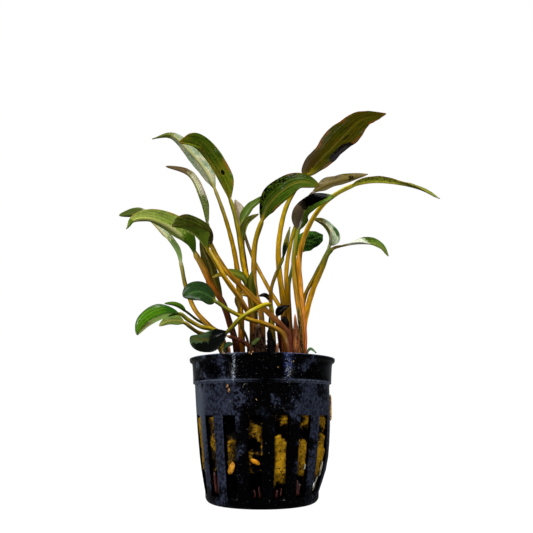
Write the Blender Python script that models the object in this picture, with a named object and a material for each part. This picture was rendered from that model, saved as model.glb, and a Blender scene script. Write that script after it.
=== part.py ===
"""Red cryptocoryne wendtii: an aquarium plant standing in a slotted net pot.

Leaves rise on their own stalks from a small crown that sits on a plug of mineral wool.
The lengths in this file are millimetres; MM turns them into the scene's metres.
The pot's underside is at z = 0, its axis is Z, and the plant faces -Y.
"""

import math

import bmesh
import bpy
import numpy as np
from mathutils import Matrix, Vector

MM = 0.001

POT_HEIGHT = 45.5
RIM_RADIUS = 25.0
BAND_TOP_RADIUS = 24.05
BAND_FOOT_RADIUS = 23.5
LEDGE_HEIGHT = 37.0
LEDGE_STEP = 0.6
BODY_FOOT_RADIUS = 18.5
BODY_FOOT_HEIGHT = 3.5
BASE_RADIUS = 16.4
INNER_FLOOR_RADIUS = 16.5
WALL = 1.0
FLOOR = 1.2
POT_SEGMENTS = 48

SLOTS = 16
SLOT_WIDTH = 4.3
SLOT_FOOT = 3.0
SLOT_TOP = 27.0
SLOT_OFFSET = math.radians(17.0)

# The wool has pushed the slotted wall out at two places, most at one height: the angle of each from
# the front, the push and how far round it reaches.
BOWS = [(math.radians(75), 2.1), (math.radians(-88), 0.7)]
BOW_SPREAD = math.radians(32)
BOW_HEIGHT = 14.0

FLOOR_SLOTS = 8
FLOOR_SLOT_WIDTH = 3.0
FLOOR_SLOT_START = 7.0
FLOOR_SLOT_END = 14.0

WOOL_TOP = 40.4
WOOL_FOOT = FLOOR + 0.4
WOOL_GAP = 0.45
WOOL_SIDES = 24
WOOL_LEVELS = 9
WOOL_LUMP = 0.35

STEM_FOOT = 40.8
BLADE_THICKNESS = 0.6
LEAST_THICKNESS = 0.2
LEAST_HALF_WIDTH = 0.3
RIB_REACH = 0.7
RIB_RISE = 0.8
NECK_START = 0.35
NECK_SHARE = 0.1
LEAF_SIDES = 8
SMALL_LEAF = 4.6
SMALL_LEAF_SIDES = 6
CROWN_SIDES = 8
CURVE_STEPS = 16
BLADE_STEPS = (0.03, 0.12, 0.27, 0.45, 0.63, 0.8, 0.93, 1.0)
SMALL_BLADE_STEPS = (0.1, 0.35, 0.65, 0.9, 1.0)
SHARP_ANGLE = math.radians(40)

BLACK = (0.012, 0.012, 0.014)
WOOL = (0.42, 0.25, 0.06)
GREEN = (0.09, 0.17, 0.02)
PALE_GREEN = (0.32, 0.38, 0.12)
DARK_GREEN = (0.02, 0.05, 0.02)
OLIVE = (0.10, 0.11, 0.03)
DARK_OLIVE = (0.05, 0.045, 0.02)
OLIVE_BROWN = (0.13, 0.09, 0.03)
BROWN_GREY = (0.16, 0.12, 0.08)
TAN_PINK = (0.42, 0.27, 0.15)
NEAR_BLACK = (0.02, 0.018, 0.012)
ROOT_BROWN = (0.06, 0.03, 0.018)
RED_BROWN = (0.22, 0.07, 0.035)
OCHRE = (0.50, 0.26, 0.05)
ORANGE = (0.55, 0.18, 0.04)
WET_ROUGHNESS = 0.3
WET_COAT = 0.4
DAMP_ROUGHNESS = 0.6
DRY_ROUGHNESS = 0.9

# One row for each leaf. The stalk starts at foot on the wool and runs through the stalk points;
# the blade runs through the blade points to its tip. face is the way that its upper side looks,
# thick the stalk's diameter at foot and blade, fold the angle between blade half and flat.
LEAVES = [
    dict(name="leaf_low_front", colour=DARK_GREEN, foot=(4, -2.5),
         stalk=[(3.5, -4.5, 57), (3, -8, 62.5), (1.5, -13, 62.5), (-2.5, -17, 60), (-7, -17.5, 57)],
         blade=[(-11, -15, 53.3), (-15.5, -13, 51.3), (-20, -11, 51), (-24, -9, 52.3)],
         width=9, thick=(1.6, 1.4), fold=8, face=(-0.2, -1, 0.5), peak=0.33, full=0.6,
         halves=(0.75, 1.3)),
    dict(name="leaf_round_dark", colour=DARK_GREEN, foot=(9, -8),
         stalk=[(7, -9.5, 53), (1.5, -11.5, 56), (-4.5, -13, 57.5), (-10.5, -15, 60)],
         blade=[(-15, -17, 62.6), (-20, -20.5, 64.8), (-25, -22.5, 63.2)],
         width=10.5, thick=(2, 1.2), fold=8, face=(0.1, -1, 0.7), peak=0.45, full=0.55),
    dict(name="leaf_narrow_left", colour=BROWN_GREY, foot=(10.5, -5.5),
         stalk=[(9, -6, 53), (1.5, -9, 61), (-5, -11.5, 67), (-12, -13, 74), (-18, -7.5, 85)],
         blade=[(-20.5, 2, 95.5), (-24, 6, 107.8), (-29.7, 10, 119.6), (-40, 14, 125.5)],
         width=6, thick=(2.2, 1.4), fold=40, face=(0.8, 0.4, 0.4), tip_face=(0.2, 0.5, 1), peak=0.33),
    dict(name="leaf_dark_left", colour=DARK_OLIVE, foot=(-2, -5),
         stalk=[(-3.5, -7.5, 58), (-6, -10, 62.5), (-8.5, -13, 66), (-12.5, -17, 71), (-15.5, -19, 76)],
         blade=[(-17.5, -20, 79), (-21, -23, 83), (-24, -27.5, 84), (-28, -31.5, 83.5)],
         width=14, thick=(2.2, 1.5), fold=40, face=(0.3, -0.6, 0.7), peak=0.32, full=0.6),
    dict(name="leaf_small_curled", colour=GREEN, foot=(-4.5, -1),
         stalk=[(-2.5, -1, 60), (-4, -2.5, 66)],
         blade=[(-5, -3.5, 69), (-7, -5.5, 73.5), (-11.5, -6.5, 75), (-17.5, -7.5, 73)],
         width=5, thick=(1.2, 0.9), fold=15, face=(0.6, -0.5, 0.8)),
    dict(name="leaf_long_left", colour=GREEN, foot=(-8.5, -5),
         stalk=[(-9, -5, 50.5), (-11, -6.5, 57), (-13.5, -9, 64), (-17.5, -11.5, 70), (-20, -13, 75)],
         blade=[(-22, -15, 78.5), (-25, -17, 83), (-31, -18.5, 87.5), (-37, -21, 89.5),
                (-41.5, -23, 88.5), (-43.5, -25.5, 84.5)],
         width=9.5, thick=(2.3, 2), fold=40, face=(0.35, 0.7, 0.6), tip_face=(0, 0.6, 0.8)),
    dict(name="leaf_far_left", colour=PALE_GREEN, foot=(-11.5, 0),
         stalk=[(-14.5, 0, 54), (-18.2, -1, 57), (-23.5, -2.5, 62.5), (-27, -4.5, 71)],
         blade=[(-28.4, -6, 77.5), (-30.4, -4.5, 83.5), (-37.5, 2, 93.2), (-46, 6, 101.2),
                (-57.5, 14, 104)],
         width=8.5, thick=(2, 1.4), fold=15, face=(0.3, 0.5, 1), peak=0.22, full=0.85),
    dict(name="leaf_dark_inner", colour=DARK_OLIVE, foot=(-7.5, -1),
         stalk=[(-9.5, -1, 52.5), (-13, -1, 62.5)],
         blade=[(-14, -0.5, 65.5), (-16.5, 0.5, 72.5), (-19.5, 3.5, 81.5), (-24, 7.5, 91.5)],
         width=8, thick=(1.8, 1.4), fold=20, face=(-0.8, -0.6, 0.3)),
    dict(name="leaf_low_left", colour=GREEN, foot=(-12, -2.5),
         stalk=[(-15.5, -4, 54.5), (-21, -7.5, 56), (-25, -10, 58)],
         blade=[(-27.3, -12, 59.5), (-32, -14, 58.1), (-36.9, -15, 55.2), (-40.4, -15.5, 51.9)],
         width=11.3, thick=(1.8, 1.3), fold=42, face=(-0.35, -0.7, 0.6), peak=0.5, full=0.6),
    dict(name="leaf_low_left_back", colour=GREEN, foot=(-11.5, 3),
         stalk=[(-17, 2.5, 53), (-22.5, -1, 55), (-25, -4.5, 56.5)],
         blade=[(-26.5, -5.5, 57.5), (-31, -7, 57.8), (-35, -7.5, 56.2)],
         width=7.5, thick=(1.8, 1.3), fold=15, face=(-0.1, -0.8, 0.8)),
    dict(name="leaf_low_left_top", colour=DARK_GREEN, foot=(-9.5, 5.5),
         stalk=[(-17, 4, 56), (-23.5, 2, 60)],
         blade=[(-27, 0, 62.5), (-30.5, -1, 64.5), (-34.5, -2.5, 65)],
         width=4.5, thick=(1.2, 0.9), fold=20, face=(0, -0.5, 1)),
    dict(name="leaf_tiny_hooked", colour=DARK_GREEN, foot=(-5, -4),
         stalk=[(-5, -5, 51.5), (-7.5, -5.5, 57.5)],
         blade=[(-8, -5.5, 62), (-8.5, -6, 65.5), (-7, -6, 67.5), (-5, -6, 66.5)],
         width=3, thick=(1, 0.8), fold=15, face=(0.5, -0.8, 0.2)),
    dict(name="leaf_small_upright", colour=OLIVE, foot=(-1.8, -1.8),
         stalk=[(-2, -5, 59.5)],
         blade=[(-2.5, -6.5, 64.5), (-4, -8.5, 70.5), (-3.5, -9.5, 75)],
         width=3.4, thick=(1.4, 1), fold=10, face=(-0.2, -1, 0.1)),
    dict(name="leaf_top_left", colour=OLIVE, foot=(-3, 3.5),
         stalk=[(-4, 3, 67.5), (-7, 3.5, 80), (-9.5, 3, 95.5)],
         blade=[(-12, 2, 105), (-16, 2, 113), (-21, 0, 121), (-25.5, -6, 124), (-30, -14, 121.5)],
         width=13, thick=(2.2, 1.6), fold=45, face=(1, -1, 0.3), peak=0.45, full=0.5,
         scallop=(0.13, 1.75, -0.3)),
    dict(name="leaf_top_left_back", colour=PALE_GREEN, foot=(-7, 4.5),
         stalk=[(-8, 6, 62.5), (-10, 10, 82.5), (-13.5, 13.5, 98)],
         blade=[(-19, 16, 114.5), (-24, 20, 126.3), (-31.5, 24, 137), (-41, 28, 147.2),
                (-51, 34, 148.7)],
         width=8, thick=(2.6, 1.4), fold=20, face=(0.3, 1, 0.4), peak=0.3, full=1),
    dict(name="leaf_narrow_centre", colour=BROWN_GREY, foot=(-4, 7),
         stalk=[(-4.5, 7.5, 68.5), (-6.5, 10, 83.5)],
         blade=[(-7.5, 10.5, 92), (-6, 10, 99), (-1.5, 8, 102.5)],
         width=6, thick=(1.4, 1), fold=30, face=(-0.8, -0.6, 0.4)),
    dict(name="leaf_behind_centre", colour=GREEN, foot=(-1, 7.5),
         stalk=[(-5, 10.5, 69), (-7, 15.5, 86), (-8.5, 17, 94.5)],
         blade=[(-8.5, 17.5, 101), (-5.5, 19, 108), (-2, 20, 112), (3, 24, 118.5)],
         width=9, thick=(1.6, 1.2), fold=15, face=(-0.5, -0.6, 0.6)),
    dict(name="leaf_pale_centre", colour=TAN_PINK, foot=(9.5, 4.5),
         stalk=[(7.5, 7, 62.5), (2.5, 11, 73), (-4, 17.5, 87.5)],
         blade=[(-8, 23.5, 100.5), (-10, 26, 108.5), (-12.2, 29.5, 117.3)],
         width=7, thick=(1.8, 1.2), fold=15, face=(0.3, 1, 0.5)),
    dict(name="leaf_arched_right", colour=OLIVE, foot=(0.5, -2.5),
         stalk=[(-0.5, -3, 61.5), (-2.5, -3.5, 69), (-3, -6, 78), (-2.5, -8.5, 85.5)],
         blade=[(-0.5, -11, 91.5), (2.1, -14, 96.8), (7, -18, 100.7), (12.8, -20, 103.1),
                (19.5, -20, 101.9)],
         width=12.7, thick=(2.2, 1.8), fold=12, face=(-0.5, -1, 0.4), tip_face=(-0.1, -1, 0.5), peak=0.4,
         full=0.6, scallop=(0.08, 2.5, 0.2)),
    dict(name="leaf_top_right", colour=OLIVE_BROWN, foot=(7, 2.5),
         stalk=[(7.5, 1, 65), (6, 0, 78), (6, 1, 88.5), (9, 3, 103.5)],
         blade=[(15.5, 6, 116), (23.5, 9, 126), (32, 12, 136), (41, 16, 147), (53.5, 20, 153.5)],
         width=15.5, thick=(2.4, 1.6), fold=15, face=(-0.2, -1, 0.4), peak=0.4, full=0.5,
         halves=(1.05, 0.86), scallop=(0.15, 2, -0.12)),
    dict(name="leaf_tan_right", colour=TAN_PINK, foot=(9.5, 1.3),
         stalk=[(9.5, 5, 64.5), (9, 8, 80), (13, 11, 99)],
         blade=[(19, 11, 111.5), (24.3, 12, 116), (30.7, 14, 119), (44, 19, 124.3)],
         width=5.2, thick=(2, 1.4), fold=15, face=(0.1, 0.75, 0.8)),
    dict(name="leaf_far_right", colour=PALE_GREEN, foot=(14.1, 0),
         stalk=[(14.6, 0, 55), (13.7, 0, 70.5), (13.3, 0, 81.5), (16, -1, 92), (23, -2, 103)],
         blade=[(32.5, -4, 108.7), (39.5, -6, 109.7), (47.5, -10, 107.5), (54, -16, 102.8),
                (58.5, -24, 95.5)],
         width=9.5, thick=(2.3, 1.7), fold=15, face=(0, -0.2, 1), peak=0.3),
    dict(name="leaf_black_right", colour=NEAR_BLACK, foot=(13.5, -3),
         stalk=[(13.5, -3.5, 55.5), (11.5, -6, 71), (11, -7.5, 79.5)],
         blade=[(12.5, -9.5, 89.3), (14.3, -12, 94.7), (17.7, -15, 97.3), (24.5, -18, 98.8)],
         width=9.6, thick=(2.1, 1.6), fold=15, face=(-0.4, -1, 0.3), tip_face=(-0.3, -0.9, 0.6),
         full=0.55),
    dict(name="leaf_dark_right", colour=DARK_GREEN, foot=(11.5, 7.5),
         stalk=[(10, 7, 64.5), (10, 10, 74.5), (11.5, 13, 82.5)],
         blade=[(12.5, 14, 87), (17, 18.5, 94), (25, 24.5, 99.5)],
         width=8.5, thick=(1.5, 1.2), fold=10, face=(0.3, -0.9, 0.3)),
    dict(name="leaf_drooping_right", colour=PALE_GREEN, foot=(12.5, 3),
         stalk=[(15.5, 3.5, 61), (18.5, 5.5, 71.5), (22, 7, 79.5)],
         blade=[(25.8, 9, 87.8), (32.5, 11, 90.8), (40.5, 14, 92.5), (46.5, 17, 92),
                (50.6, 19.5, 88.6)],
         width=8, thick=(2.2, 2), fold=15, face=(0.1, 0.1, 1), tip_face=(0.4, -0.9, 0.55), peak=0.68,
         full=1),
    dict(name="leaf_crumpled_right", colour=PALE_GREEN, foot=(14.5, 6),
         stalk=[(15.3, 7.5, 68), (19.5, 10, 77.5), (23.3, 13, 85)],
         blade=[(26.3, 15, 91.5), (26.8, 15.5, 96), (24.5, 16, 100.5), (20, 16, 103.5)],
         width=8, thick=(1.8, 1.3), fold=25, face=(1, -0.6, 0.4), halves=(1.5, 0.9)),
    dict(name="leaf_thin_dark", colour=DARK_GREEN, foot=(5, 0),
         stalk=[(3.5, -1, 60), (3, -5, 69), (5, -7, 75)],
         blade=[(7, -7.5, 79.5), (8.5, -6.5, 86), (10, -4, 93)],
         width=2.6, thick=(1.5, 1.2), fold=20, face=(-0.3, -1, 0.2)),
    dict(name="leaf_tiny_black_a", colour=NEAR_BLACK, foot=(2.5, 2.5),
         stalk=[(2.5, 2.5, 58), (3, 2.5, 65.5)],
         blade=[(2.5, 2, 67), (1, 1.5, 68.5), (-1.5, 1.5, 68.5)],
         width=3, thick=(1, 0.8), fold=15, face=(0.1, -0.7, 0.7)),
    dict(name="leaf_tiny_black_b", colour=NEAR_BLACK, foot=(7.5, -1.5),
         stalk=[(5.5, -2, 55.5)],
         blade=[(5, -3, 60), (6.5, -3.5, 62.5), (9.5, -3.5, 64)],
         width=3, thick=(1.2, 1), fold=10, face=(0.4, -0.7, 0.5)),
    dict(name="leaf_tiny_front", colour=GREEN, foot=(-4.5, -10.5),
         blade=[(-3.5, -11.5, 49), (-2.5, -12, 50), (-0.5, -12, 51.5)],
         width=2.4, thick=(0.9, 0.7), fold=10, face=(-0.3, -0.9, 0.3)),
    dict(name="leaf_tiny_left", colour=GREEN, foot=(-10.5, -7),
         blade=[(-12.5, -8, 48), (-11.5, -8.5, 49.5), (-9.5, -9, 50)],
         width=2.4, thick=(0.9, 0.7), fold=10, face=(-0.3, -0.9, 0.3)),
    dict(name="leaf_rim_loop", colour=DARK_GREEN, foot=(18.5, -3),
         blade=[(15.5, -3, 47.5), (16.5, -3, 49), (18.5, -3.5, 47.5)],
         width=1.2, thick=(0.8, 0.6), fold=10, face=(0, -0.7, 0.7)),
]

# One row for each short thing in the crown: its centre line, the radius at each of those points,
# and how flat its section is.
CROWN = [
    dict(name="rhizome_centre", colour=ROOT_BROWN, flat=0.85,
         line=[(0.2, -8.6, 41), (0, -8.6, 49), (-0.4, -9, 53), (-0.6, -9.2, 56)],
         radius=[1.8, 1.6, 1.2, 0.6]),
    dict(name="rhizome_middle", colour=NEAR_BLACK, flat=0.9,
         line=[(3.4, -6.2, 41), (3.2, -6.3, 47), (2.8, -6.5, 51), (2.4, -6.7, 55)],
         radius=[1.5, 1.4, 1.1, 0.6]),
    dict(name="rhizome_left", colour=ROOT_BROWN, flat=0.9,
         line=[(-6.3, -8.3, 41), (-6.2, -8.2, 43.5), (-6, -8, 46.5)],
         radius=[1.5, 1.3, 0.6]),
    dict(name="stub_rotted", colour=ROOT_BROWN, flat=0.8,
         line=[(7.7, -3.6, 41), (7.9, -3.6, 48), (7.9, -3.7, 55), (7.9, -3.8, 60)],
         radius=[1.0, 1.1, 1.2, 1.1]),
    dict(name="stub_cut", colour=RED_BROWN, flat=0.9,
         line=[(-2.6, -9.6, 41), (-3.2, -9.4, 47.5), (-5.5, -9.4, 50), (-8.6, -9.5, 51.5),
               (-12, -9.3, 52.6)],
         radius=[0.8, 0.8, 0.8, 0.7, 0.6]),
    dict(name="stub_orange_left", colour=ORANGE, flat=0.8,
         line=[(-10.6, -13, 41), (-10.6, -13, 45), (-10.8, -13, 48.7)],
         radius=[0.9, 0.8, 0.4]),
    dict(name="stub_orange_right", colour=ORANGE, flat=0.8,
         line=[(4.9, -12, 41), (4.9, -12, 46), (5.1, -12, 49.8)],
         radius=[0.8, 0.7, 0.4]),
    dict(name="sheath_red", colour=RED_BROWN, flat=0.45,
         line=[(12.2, -7.4, 41), (11.6, -7, 50), (11.4, -6.7, 56), (11.2, -6.6, 60.5)],
         radius=[0.9, 1.0, 0.8, 0.25]),
    dict(name="stem_dark", colour=DARK_OLIVE, flat=1.0,
         line=[(13.9, -6, 41), (13.3, -5.9, 50), (12.8, -6, 57), (12.4, -6.8, 63)],
         radius=[0.6, 0.5, 0.45, 0.4]),
]

# Two loose bits of gravel held in the slots: which slot, counted from the one right of the front,
# with the height, the distance from the axis and the half sizes.
GRAVEL = [
    dict(name="grain_ochre", colour=OCHRE, slot=-2, height=11.6, radius=19.35,
         half=(1.3, 0.55, 1.9), lean=math.radians(-28)),
    dict(name="chip_orange", colour=ORANGE, slot=-1, height=13.6, radius=19.55,
         half=(1.35, 0.5, 0.8), lean=math.radians(35)),
]


def material(name, colour, roughness, coat=0.0):
    """A plain glossy or matt surface."""
    made = bpy.data.materials.new(name)
    made.use_nodes = True
    shader = made.node_tree.nodes["Principled BSDF"]
    shader.inputs["Base Color"].default_value = (*colour, 1.0)
    shader.inputs["Roughness"].default_value = roughness
    shader.inputs["Coat Weight"].default_value = coat
    return made


def add_object(name, bm, colour, roughness, coat=0.0):
    """Turns the millimetre mesh into an object in metres, with its faces pointing out."""
    bmesh.ops.recalc_face_normals(bm, faces=bm.faces)
    bmesh.ops.scale(bm, vec=(MM, MM, MM), verts=bm.verts)
    mesh = bpy.data.meshes.new(name)
    bm.to_mesh(mesh)
    bm.free()
    mesh.shade_smooth()
    mesh.set_sharp_from_angle(angle=SHARP_ANGLE)
    mesh.materials.append(material(name, colour, roughness, coat))
    made = bpy.data.objects.new(name, mesh)
    bpy.context.scene.collection.objects.link(made)
    return made


def extrude_through(rings):
    """Starts with a face on the first ring and extrudes it from ring to ring, with both ends closed."""
    bm = bmesh.new()
    place = bm.verts.layers.int.new("place")
    corners = [bm.verts.new(point) for point in rings[0]]
    for index, corner in enumerate(corners):
        corner[place] = index
    foot = face = bm.faces.new(corners)
    for ring in rings[1:]:
        below = face
        made = bmesh.ops.extrude_face_region(bm, geom=[below])
        face = next(item for item in made["geom"] if isinstance(item, bmesh.types.BMFace))
        if below is not foot:
            bm.faces.remove(below)
        for corner in face.verts:
            corner.co = Vector(ring[corner[place]])
    return bm


def between(a, b, start, end, t):
    """The value at t of the straight line from a at start to b at end."""
    return (a * (end - t) + b * (t - start)) / (end - start)


def smooth_curve(points):
    """Centripetal Catmull-Rom curve through the points, with the ends mirrored."""
    points = np.asarray(points, float)
    points = np.vstack([2 * points[0] - points[1], points, 2 * points[-1] - points[-2]])
    curve = []
    for four in zip(points, points[1:], points[2:], points[3:]):
        spans = [np.linalg.norm(b - a) ** 0.5 for a, b in zip(four, four[1:])]
        knots = np.concatenate([[0.0], np.cumsum(spans)])
        for t in np.linspace(knots[1], knots[2], CURVE_STEPS, endpoint=False):
            near = [between(four[i], four[i + 1], knots[i], knots[i + 1], t) for i in range(3)]
            wide = [between(near[i], near[i + 1], knots[i], knots[i + 2], t) for i in range(2)]
            curve.append(between(wide[0], wide[1], knots[1], knots[2], t))
    curve.append(points[-2])
    return np.array(curve)


class Route:
    """A smooth curve through the points, read by the distance along it."""

    def __init__(self, points):
        self.line = smooth_curve(points)
        lengths = np.linalg.norm(np.diff(self.line, axis=0), axis=1)
        self.length = np.concatenate([[0.0], np.cumsum(lengths)])
        self.total = self.length[-1]

    def at(self, distance):
        return np.array([np.interp(distance, self.length, self.line[:, axis]) for axis in range(3)])

    def along(self, distance):
        reach = self.total * 0.01
        ahead = self.at(min(distance + reach, self.total)) - self.at(max(distance - reach, 0))
        return ahead / np.linalg.norm(ahead)


def half_width(leaf, b):
    """Half the blade's width at the share b of its length, before its two halves differ."""
    if b <= 0:
        return LEAST_HALF_WIDTH
    skew = math.log(0.5) / math.log(leaf.get("peak", 0.4))
    width = leaf["width"] / 2 * max(math.sin(math.pi * b**skew), 0) ** leaf.get("full", 0.75)
    depth, count, phase = leaf.get("scallop", (0, 0, 0))
    width *= 1 + depth * math.cos(2 * math.pi * (count * b + phase))
    return max(width, LEAST_HALF_WIDTH)


def leaf_ring(leaf, route, distance, share, b, sides):
    """One section of a leaf: a round stalk that opens into a thin folded blade."""
    centre = route.at(distance)
    tangent = route.along(distance)
    turn = b * b * (3 - 2 * b)
    face = np.array(leaf["face"]) * (1 - turn) + np.array(leaf.get("tip_face", leaf["face"])) * turn
    up = face - tangent * (face @ tangent)
    up /= np.linalg.norm(up)
    side = np.cross(tangent, up)
    foot, neck = leaf["thick"]
    radius = (foot + (neck - foot) * share) / 2
    width = half_width(leaf, b)
    flatness = 0 if b == 0 else min(1, NECK_START + b / NECK_SHARE)
    fold = math.radians(leaf["fold"])
    ring = []
    for index in range(sides):
        angle = 2 * math.pi * index / sides
        stalk = side * math.cos(angle) * radius + up * math.sin(angle) * radius
        across = 1 - 4 * index / sides if index <= sides / 2 else -3 + 4 * index / sides
        layer = (index > 0) - (index > sides / 2) * 2 if index != sides / 2 else 0
        sign = 1 if across >= 0 else -1
        reach = abs(across) * width * leaf.get("halves", (1, 1))[0 if across > 0 else 1]
        normal = up * math.cos(fold) - side * sign * math.sin(fold)
        rib = 1 + RIB_RISE * math.exp(-((across * width / RIB_REACH) ** 2)) * (1 - b)
        thickness = max(min(BLADE_THICKNESS, width), LEAST_THICKNESS)
        half = thickness / 2 * math.sqrt(max(1 - across * across, 0)) * rib
        blade = side * sign * reach * math.cos(fold) + up * reach * math.sin(fold) + normal * layer * half
        ring.append(centre + stalk * (1 - flatness) + blade * flatness)
    return ring


def add_leaf(leaf):
    """A leaf, stalk and blade in one, extruded from its foot to its tip."""
    stalk = [(*leaf["foot"], STEM_FOOT)] + leaf.get("stalk", [])
    route = Route(stalk + leaf["blade"])
    base = route.length[CURVE_STEPS * len(stalk)]
    small = leaf["width"] < SMALL_LEAF
    sides = SMALL_LEAF_SIDES if small else LEAF_SIDES
    rings = []
    for share in np.linspace(0, 1, len(stalk) + (1 if small else 2)):
        rings.append(leaf_ring(leaf, route, base * share, share, 0, sides))
    for b in SMALL_BLADE_STEPS if small else BLADE_STEPS:
        rings.append(leaf_ring(leaf, route, base + (route.total - base) * b, 1, b, sides))
    add_object(leaf["name"], extrude_through(rings), leaf["colour"], WET_ROUGHNESS, WET_COAT)


def add_crown_piece(piece):
    """A short stem, stub or sheath, lumpy along its length."""
    route = Route(piece["line"])
    rings = []
    for share in np.linspace(0, 1, 2 * len(piece["line"]) - 1):
        distance = route.total * share
        tangent = route.along(distance)
        side = np.cross(tangent, (0, -1, 0))
        side /= np.linalg.norm(side)
        front = np.cross(side, tangent)
        places = np.linspace(0, 1, len(piece["radius"]))
        radius = np.interp(share, places, piece["radius"])
        rings.append(
            [
                route.at(distance)
                + side * math.cos(2 * math.pi * index / CROWN_SIDES) * radius
                + front * math.sin(2 * math.pi * index / CROWN_SIDES) * radius * piece["flat"]
                for index in range(CROWN_SIDES)
            ]
        )
    add_object(piece["name"], extrude_through(rings), piece["colour"], DAMP_ROUGHNESS)


def body_radius(height):
    """The pot's outer radius below the ledge, where the wall is straight and tapers down."""
    top = BAND_FOOT_RADIUS - LEDGE_STEP
    share = (height - BODY_FOOT_HEIGHT) / (LEDGE_HEIGHT - BODY_FOOT_HEIGHT)
    return BODY_FOOT_RADIUS + (top - BODY_FOOT_RADIUS) * share


def inner_radius(height):
    """The inside of the pot, with the slope that joins the wall to the floor."""
    foot = body_radius(BODY_FOOT_HEIGHT) - WALL
    if height >= BODY_FOOT_HEIGHT:
        return min(body_radius(height), body_radius(LEDGE_HEIGHT)) - WALL
    return between(INNER_FLOOR_RADIUS, foot, FLOOR, BODY_FOOT_HEIGHT, height)


def bow(x, y, height):
    """How far the wall is pushed out at this place."""
    rise = (height - BODY_FOOT_HEIGHT) / (BOW_HEIGHT - BODY_FOOT_HEIGHT)
    fall = (LEDGE_HEIGHT - height) / (LEDGE_HEIGHT - BOW_HEIGHT)
    push = 0
    for middle, most in BOWS:
        off = abs((math.atan2(x, -y) - middle + math.pi) % (2 * math.pi) - math.pi)
        push += most * math.cos(min(off / BOW_SPREAD, 1) * math.pi / 2) ** 2
    return push * max(min(rise, fall), 0)


def pot_profile():
    """The pot's half section as (radius, height), down the outside and back up the inside."""
    outside = [
        (RIM_RADIUS - 0.5, POT_HEIGHT),
        (RIM_RADIUS, POT_HEIGHT - 0.5),
        (RIM_RADIUS, POT_HEIGHT - 1.1),
        (RIM_RADIUS - 0.4, POT_HEIGHT - 1.6),
        (BAND_TOP_RADIUS, POT_HEIGHT - 1.8),
        (BAND_FOOT_RADIUS, LEDGE_HEIGHT + 0.3),
        (BAND_FOOT_RADIUS - LEDGE_STEP, LEDGE_HEIGHT),
        (body_radius(BOW_HEIGHT), BOW_HEIGHT),
        (BODY_FOOT_RADIUS, BODY_FOOT_HEIGHT),
        (BODY_FOOT_RADIUS - 0.6, 1.2),
        (BASE_RADIUS + 0.6, 0.2),
        (BASE_RADIUS, 0),
        (0, 0),
    ]
    inside = [
        (0, FLOOR),
        (INNER_FLOOR_RADIUS, FLOOR),
        (inner_radius(BODY_FOOT_HEIGHT), BODY_FOOT_HEIGHT),
        (inner_radius(BOW_HEIGHT), BOW_HEIGHT),
        (inner_radius(LEDGE_HEIGHT), LEDGE_HEIGHT),
        (BAND_TOP_RADIUS - WALL, POT_HEIGHT - 1.2),
        (BAND_TOP_RADIUS - WALL + 0.4, POT_HEIGHT),
    ]
    return outside + inside


def slot_cutters():
    """Sixteen upright slots in the wall and eight radial ones in the floor, as one helper mesh."""
    bm = bmesh.new()

    def add_box(size, middle, angle):
        box = bmesh.ops.create_cube(bm, size=1.0)
        bmesh.ops.scale(bm, vec=size, verts=box["verts"])
        bmesh.ops.translate(bm, vec=middle, verts=box["verts"])
        bmesh.ops.rotate(bm, matrix=Matrix.Rotation(angle, 3, "Z"), verts=box["verts"])

    inner = BASE_RADIUS - 2
    for index in range(SLOTS):
        size = (SLOT_WIDTH, RIM_RADIUS + 1 - inner, SLOT_TOP - SLOT_FOOT)
        middle = (0, -(RIM_RADIUS + 1 + inner) / 2, (SLOT_TOP + SLOT_FOOT) / 2)
        add_box(size, middle, SLOT_OFFSET + 2 * math.pi * index / SLOTS)
    for index in range(FLOOR_SLOTS):
        size = (FLOOR_SLOT_WIDTH, FLOOR_SLOT_END - FLOOR_SLOT_START, 3 * FLOOR)
        middle = (0, -(FLOOR_SLOT_START + FLOOR_SLOT_END) / 2, 0)
        add_box(size, middle, SLOT_OFFSET + 2 * math.pi * (index + 0.5) / FLOOR_SLOTS)
    cutter = add_object("slot_cutters", bm, BLACK, DAMP_ROUGHNESS)
    cutter.hide_render = True
    cutter.display_type = "WIRE"
    return cutter


def add_pot():
    """The black plastic net pot, turned from its half section and slotted."""
    bm = bmesh.new()
    corners = [bm.verts.new((radius, 0, height)) for radius, height in pot_profile()]
    edges = [bm.edges.new(pair) for pair in zip(corners, corners[1:] + corners[:1])]
    bmesh.ops.spin(
        bm, geom=corners + edges, cent=(0, 0, 0), axis=(0, 0, 1), angle=2 * math.pi, steps=POT_SEGMENTS,
        use_merge=True,
    )
    bmesh.ops.remove_doubles(bm, verts=bm.verts, dist=0.0001)
    bmesh.ops.dissolve_degenerate(bm, edges=bm.edges, dist=0.0001)
    for corner in bm.verts:
        if corner.co.xy.length > 0:
            push = bow(*corner.co)
            corner.co.xy *= 1 + push / corner.co.xy.length
    pot = add_object("pot", bm, BLACK, WET_ROUGHNESS, WET_COAT)
    slots = pot.modifiers.new("slots", "BOOLEAN")
    slots.operation = "DIFFERENCE"
    slots.solver = "EXACT"
    slots.object = slot_cutters()


def add_rockwool():
    """The plug of mineral wool that fills the pot up to its band."""
    rings = []
    for level in range(WOOL_LEVELS):
        height = WOOL_FOOT + (WOOL_TOP - WOOL_FOOT) * level / (WOOL_LEVELS - 1)
        limit = inner_radius(height) - WOOL_GAP
        ring = []
        for index in range(WOOL_SIDES):
            angle = 2 * math.pi * index / WOOL_SIDES
            lump = 0.5 + 0.25 * math.sin(3 * angle + level) + 0.25 * math.sin(7 * angle - 1.7 * level)
            radius = limit - WOOL_LUMP * lump + bow(math.cos(angle), math.sin(angle), height)
            ring.append((radius * math.cos(angle), radius * math.sin(angle), height))
        rings.append(ring)
    add_object("rockwool", extrude_through(rings), WOOL, DRY_ROUGHNESS)


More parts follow.
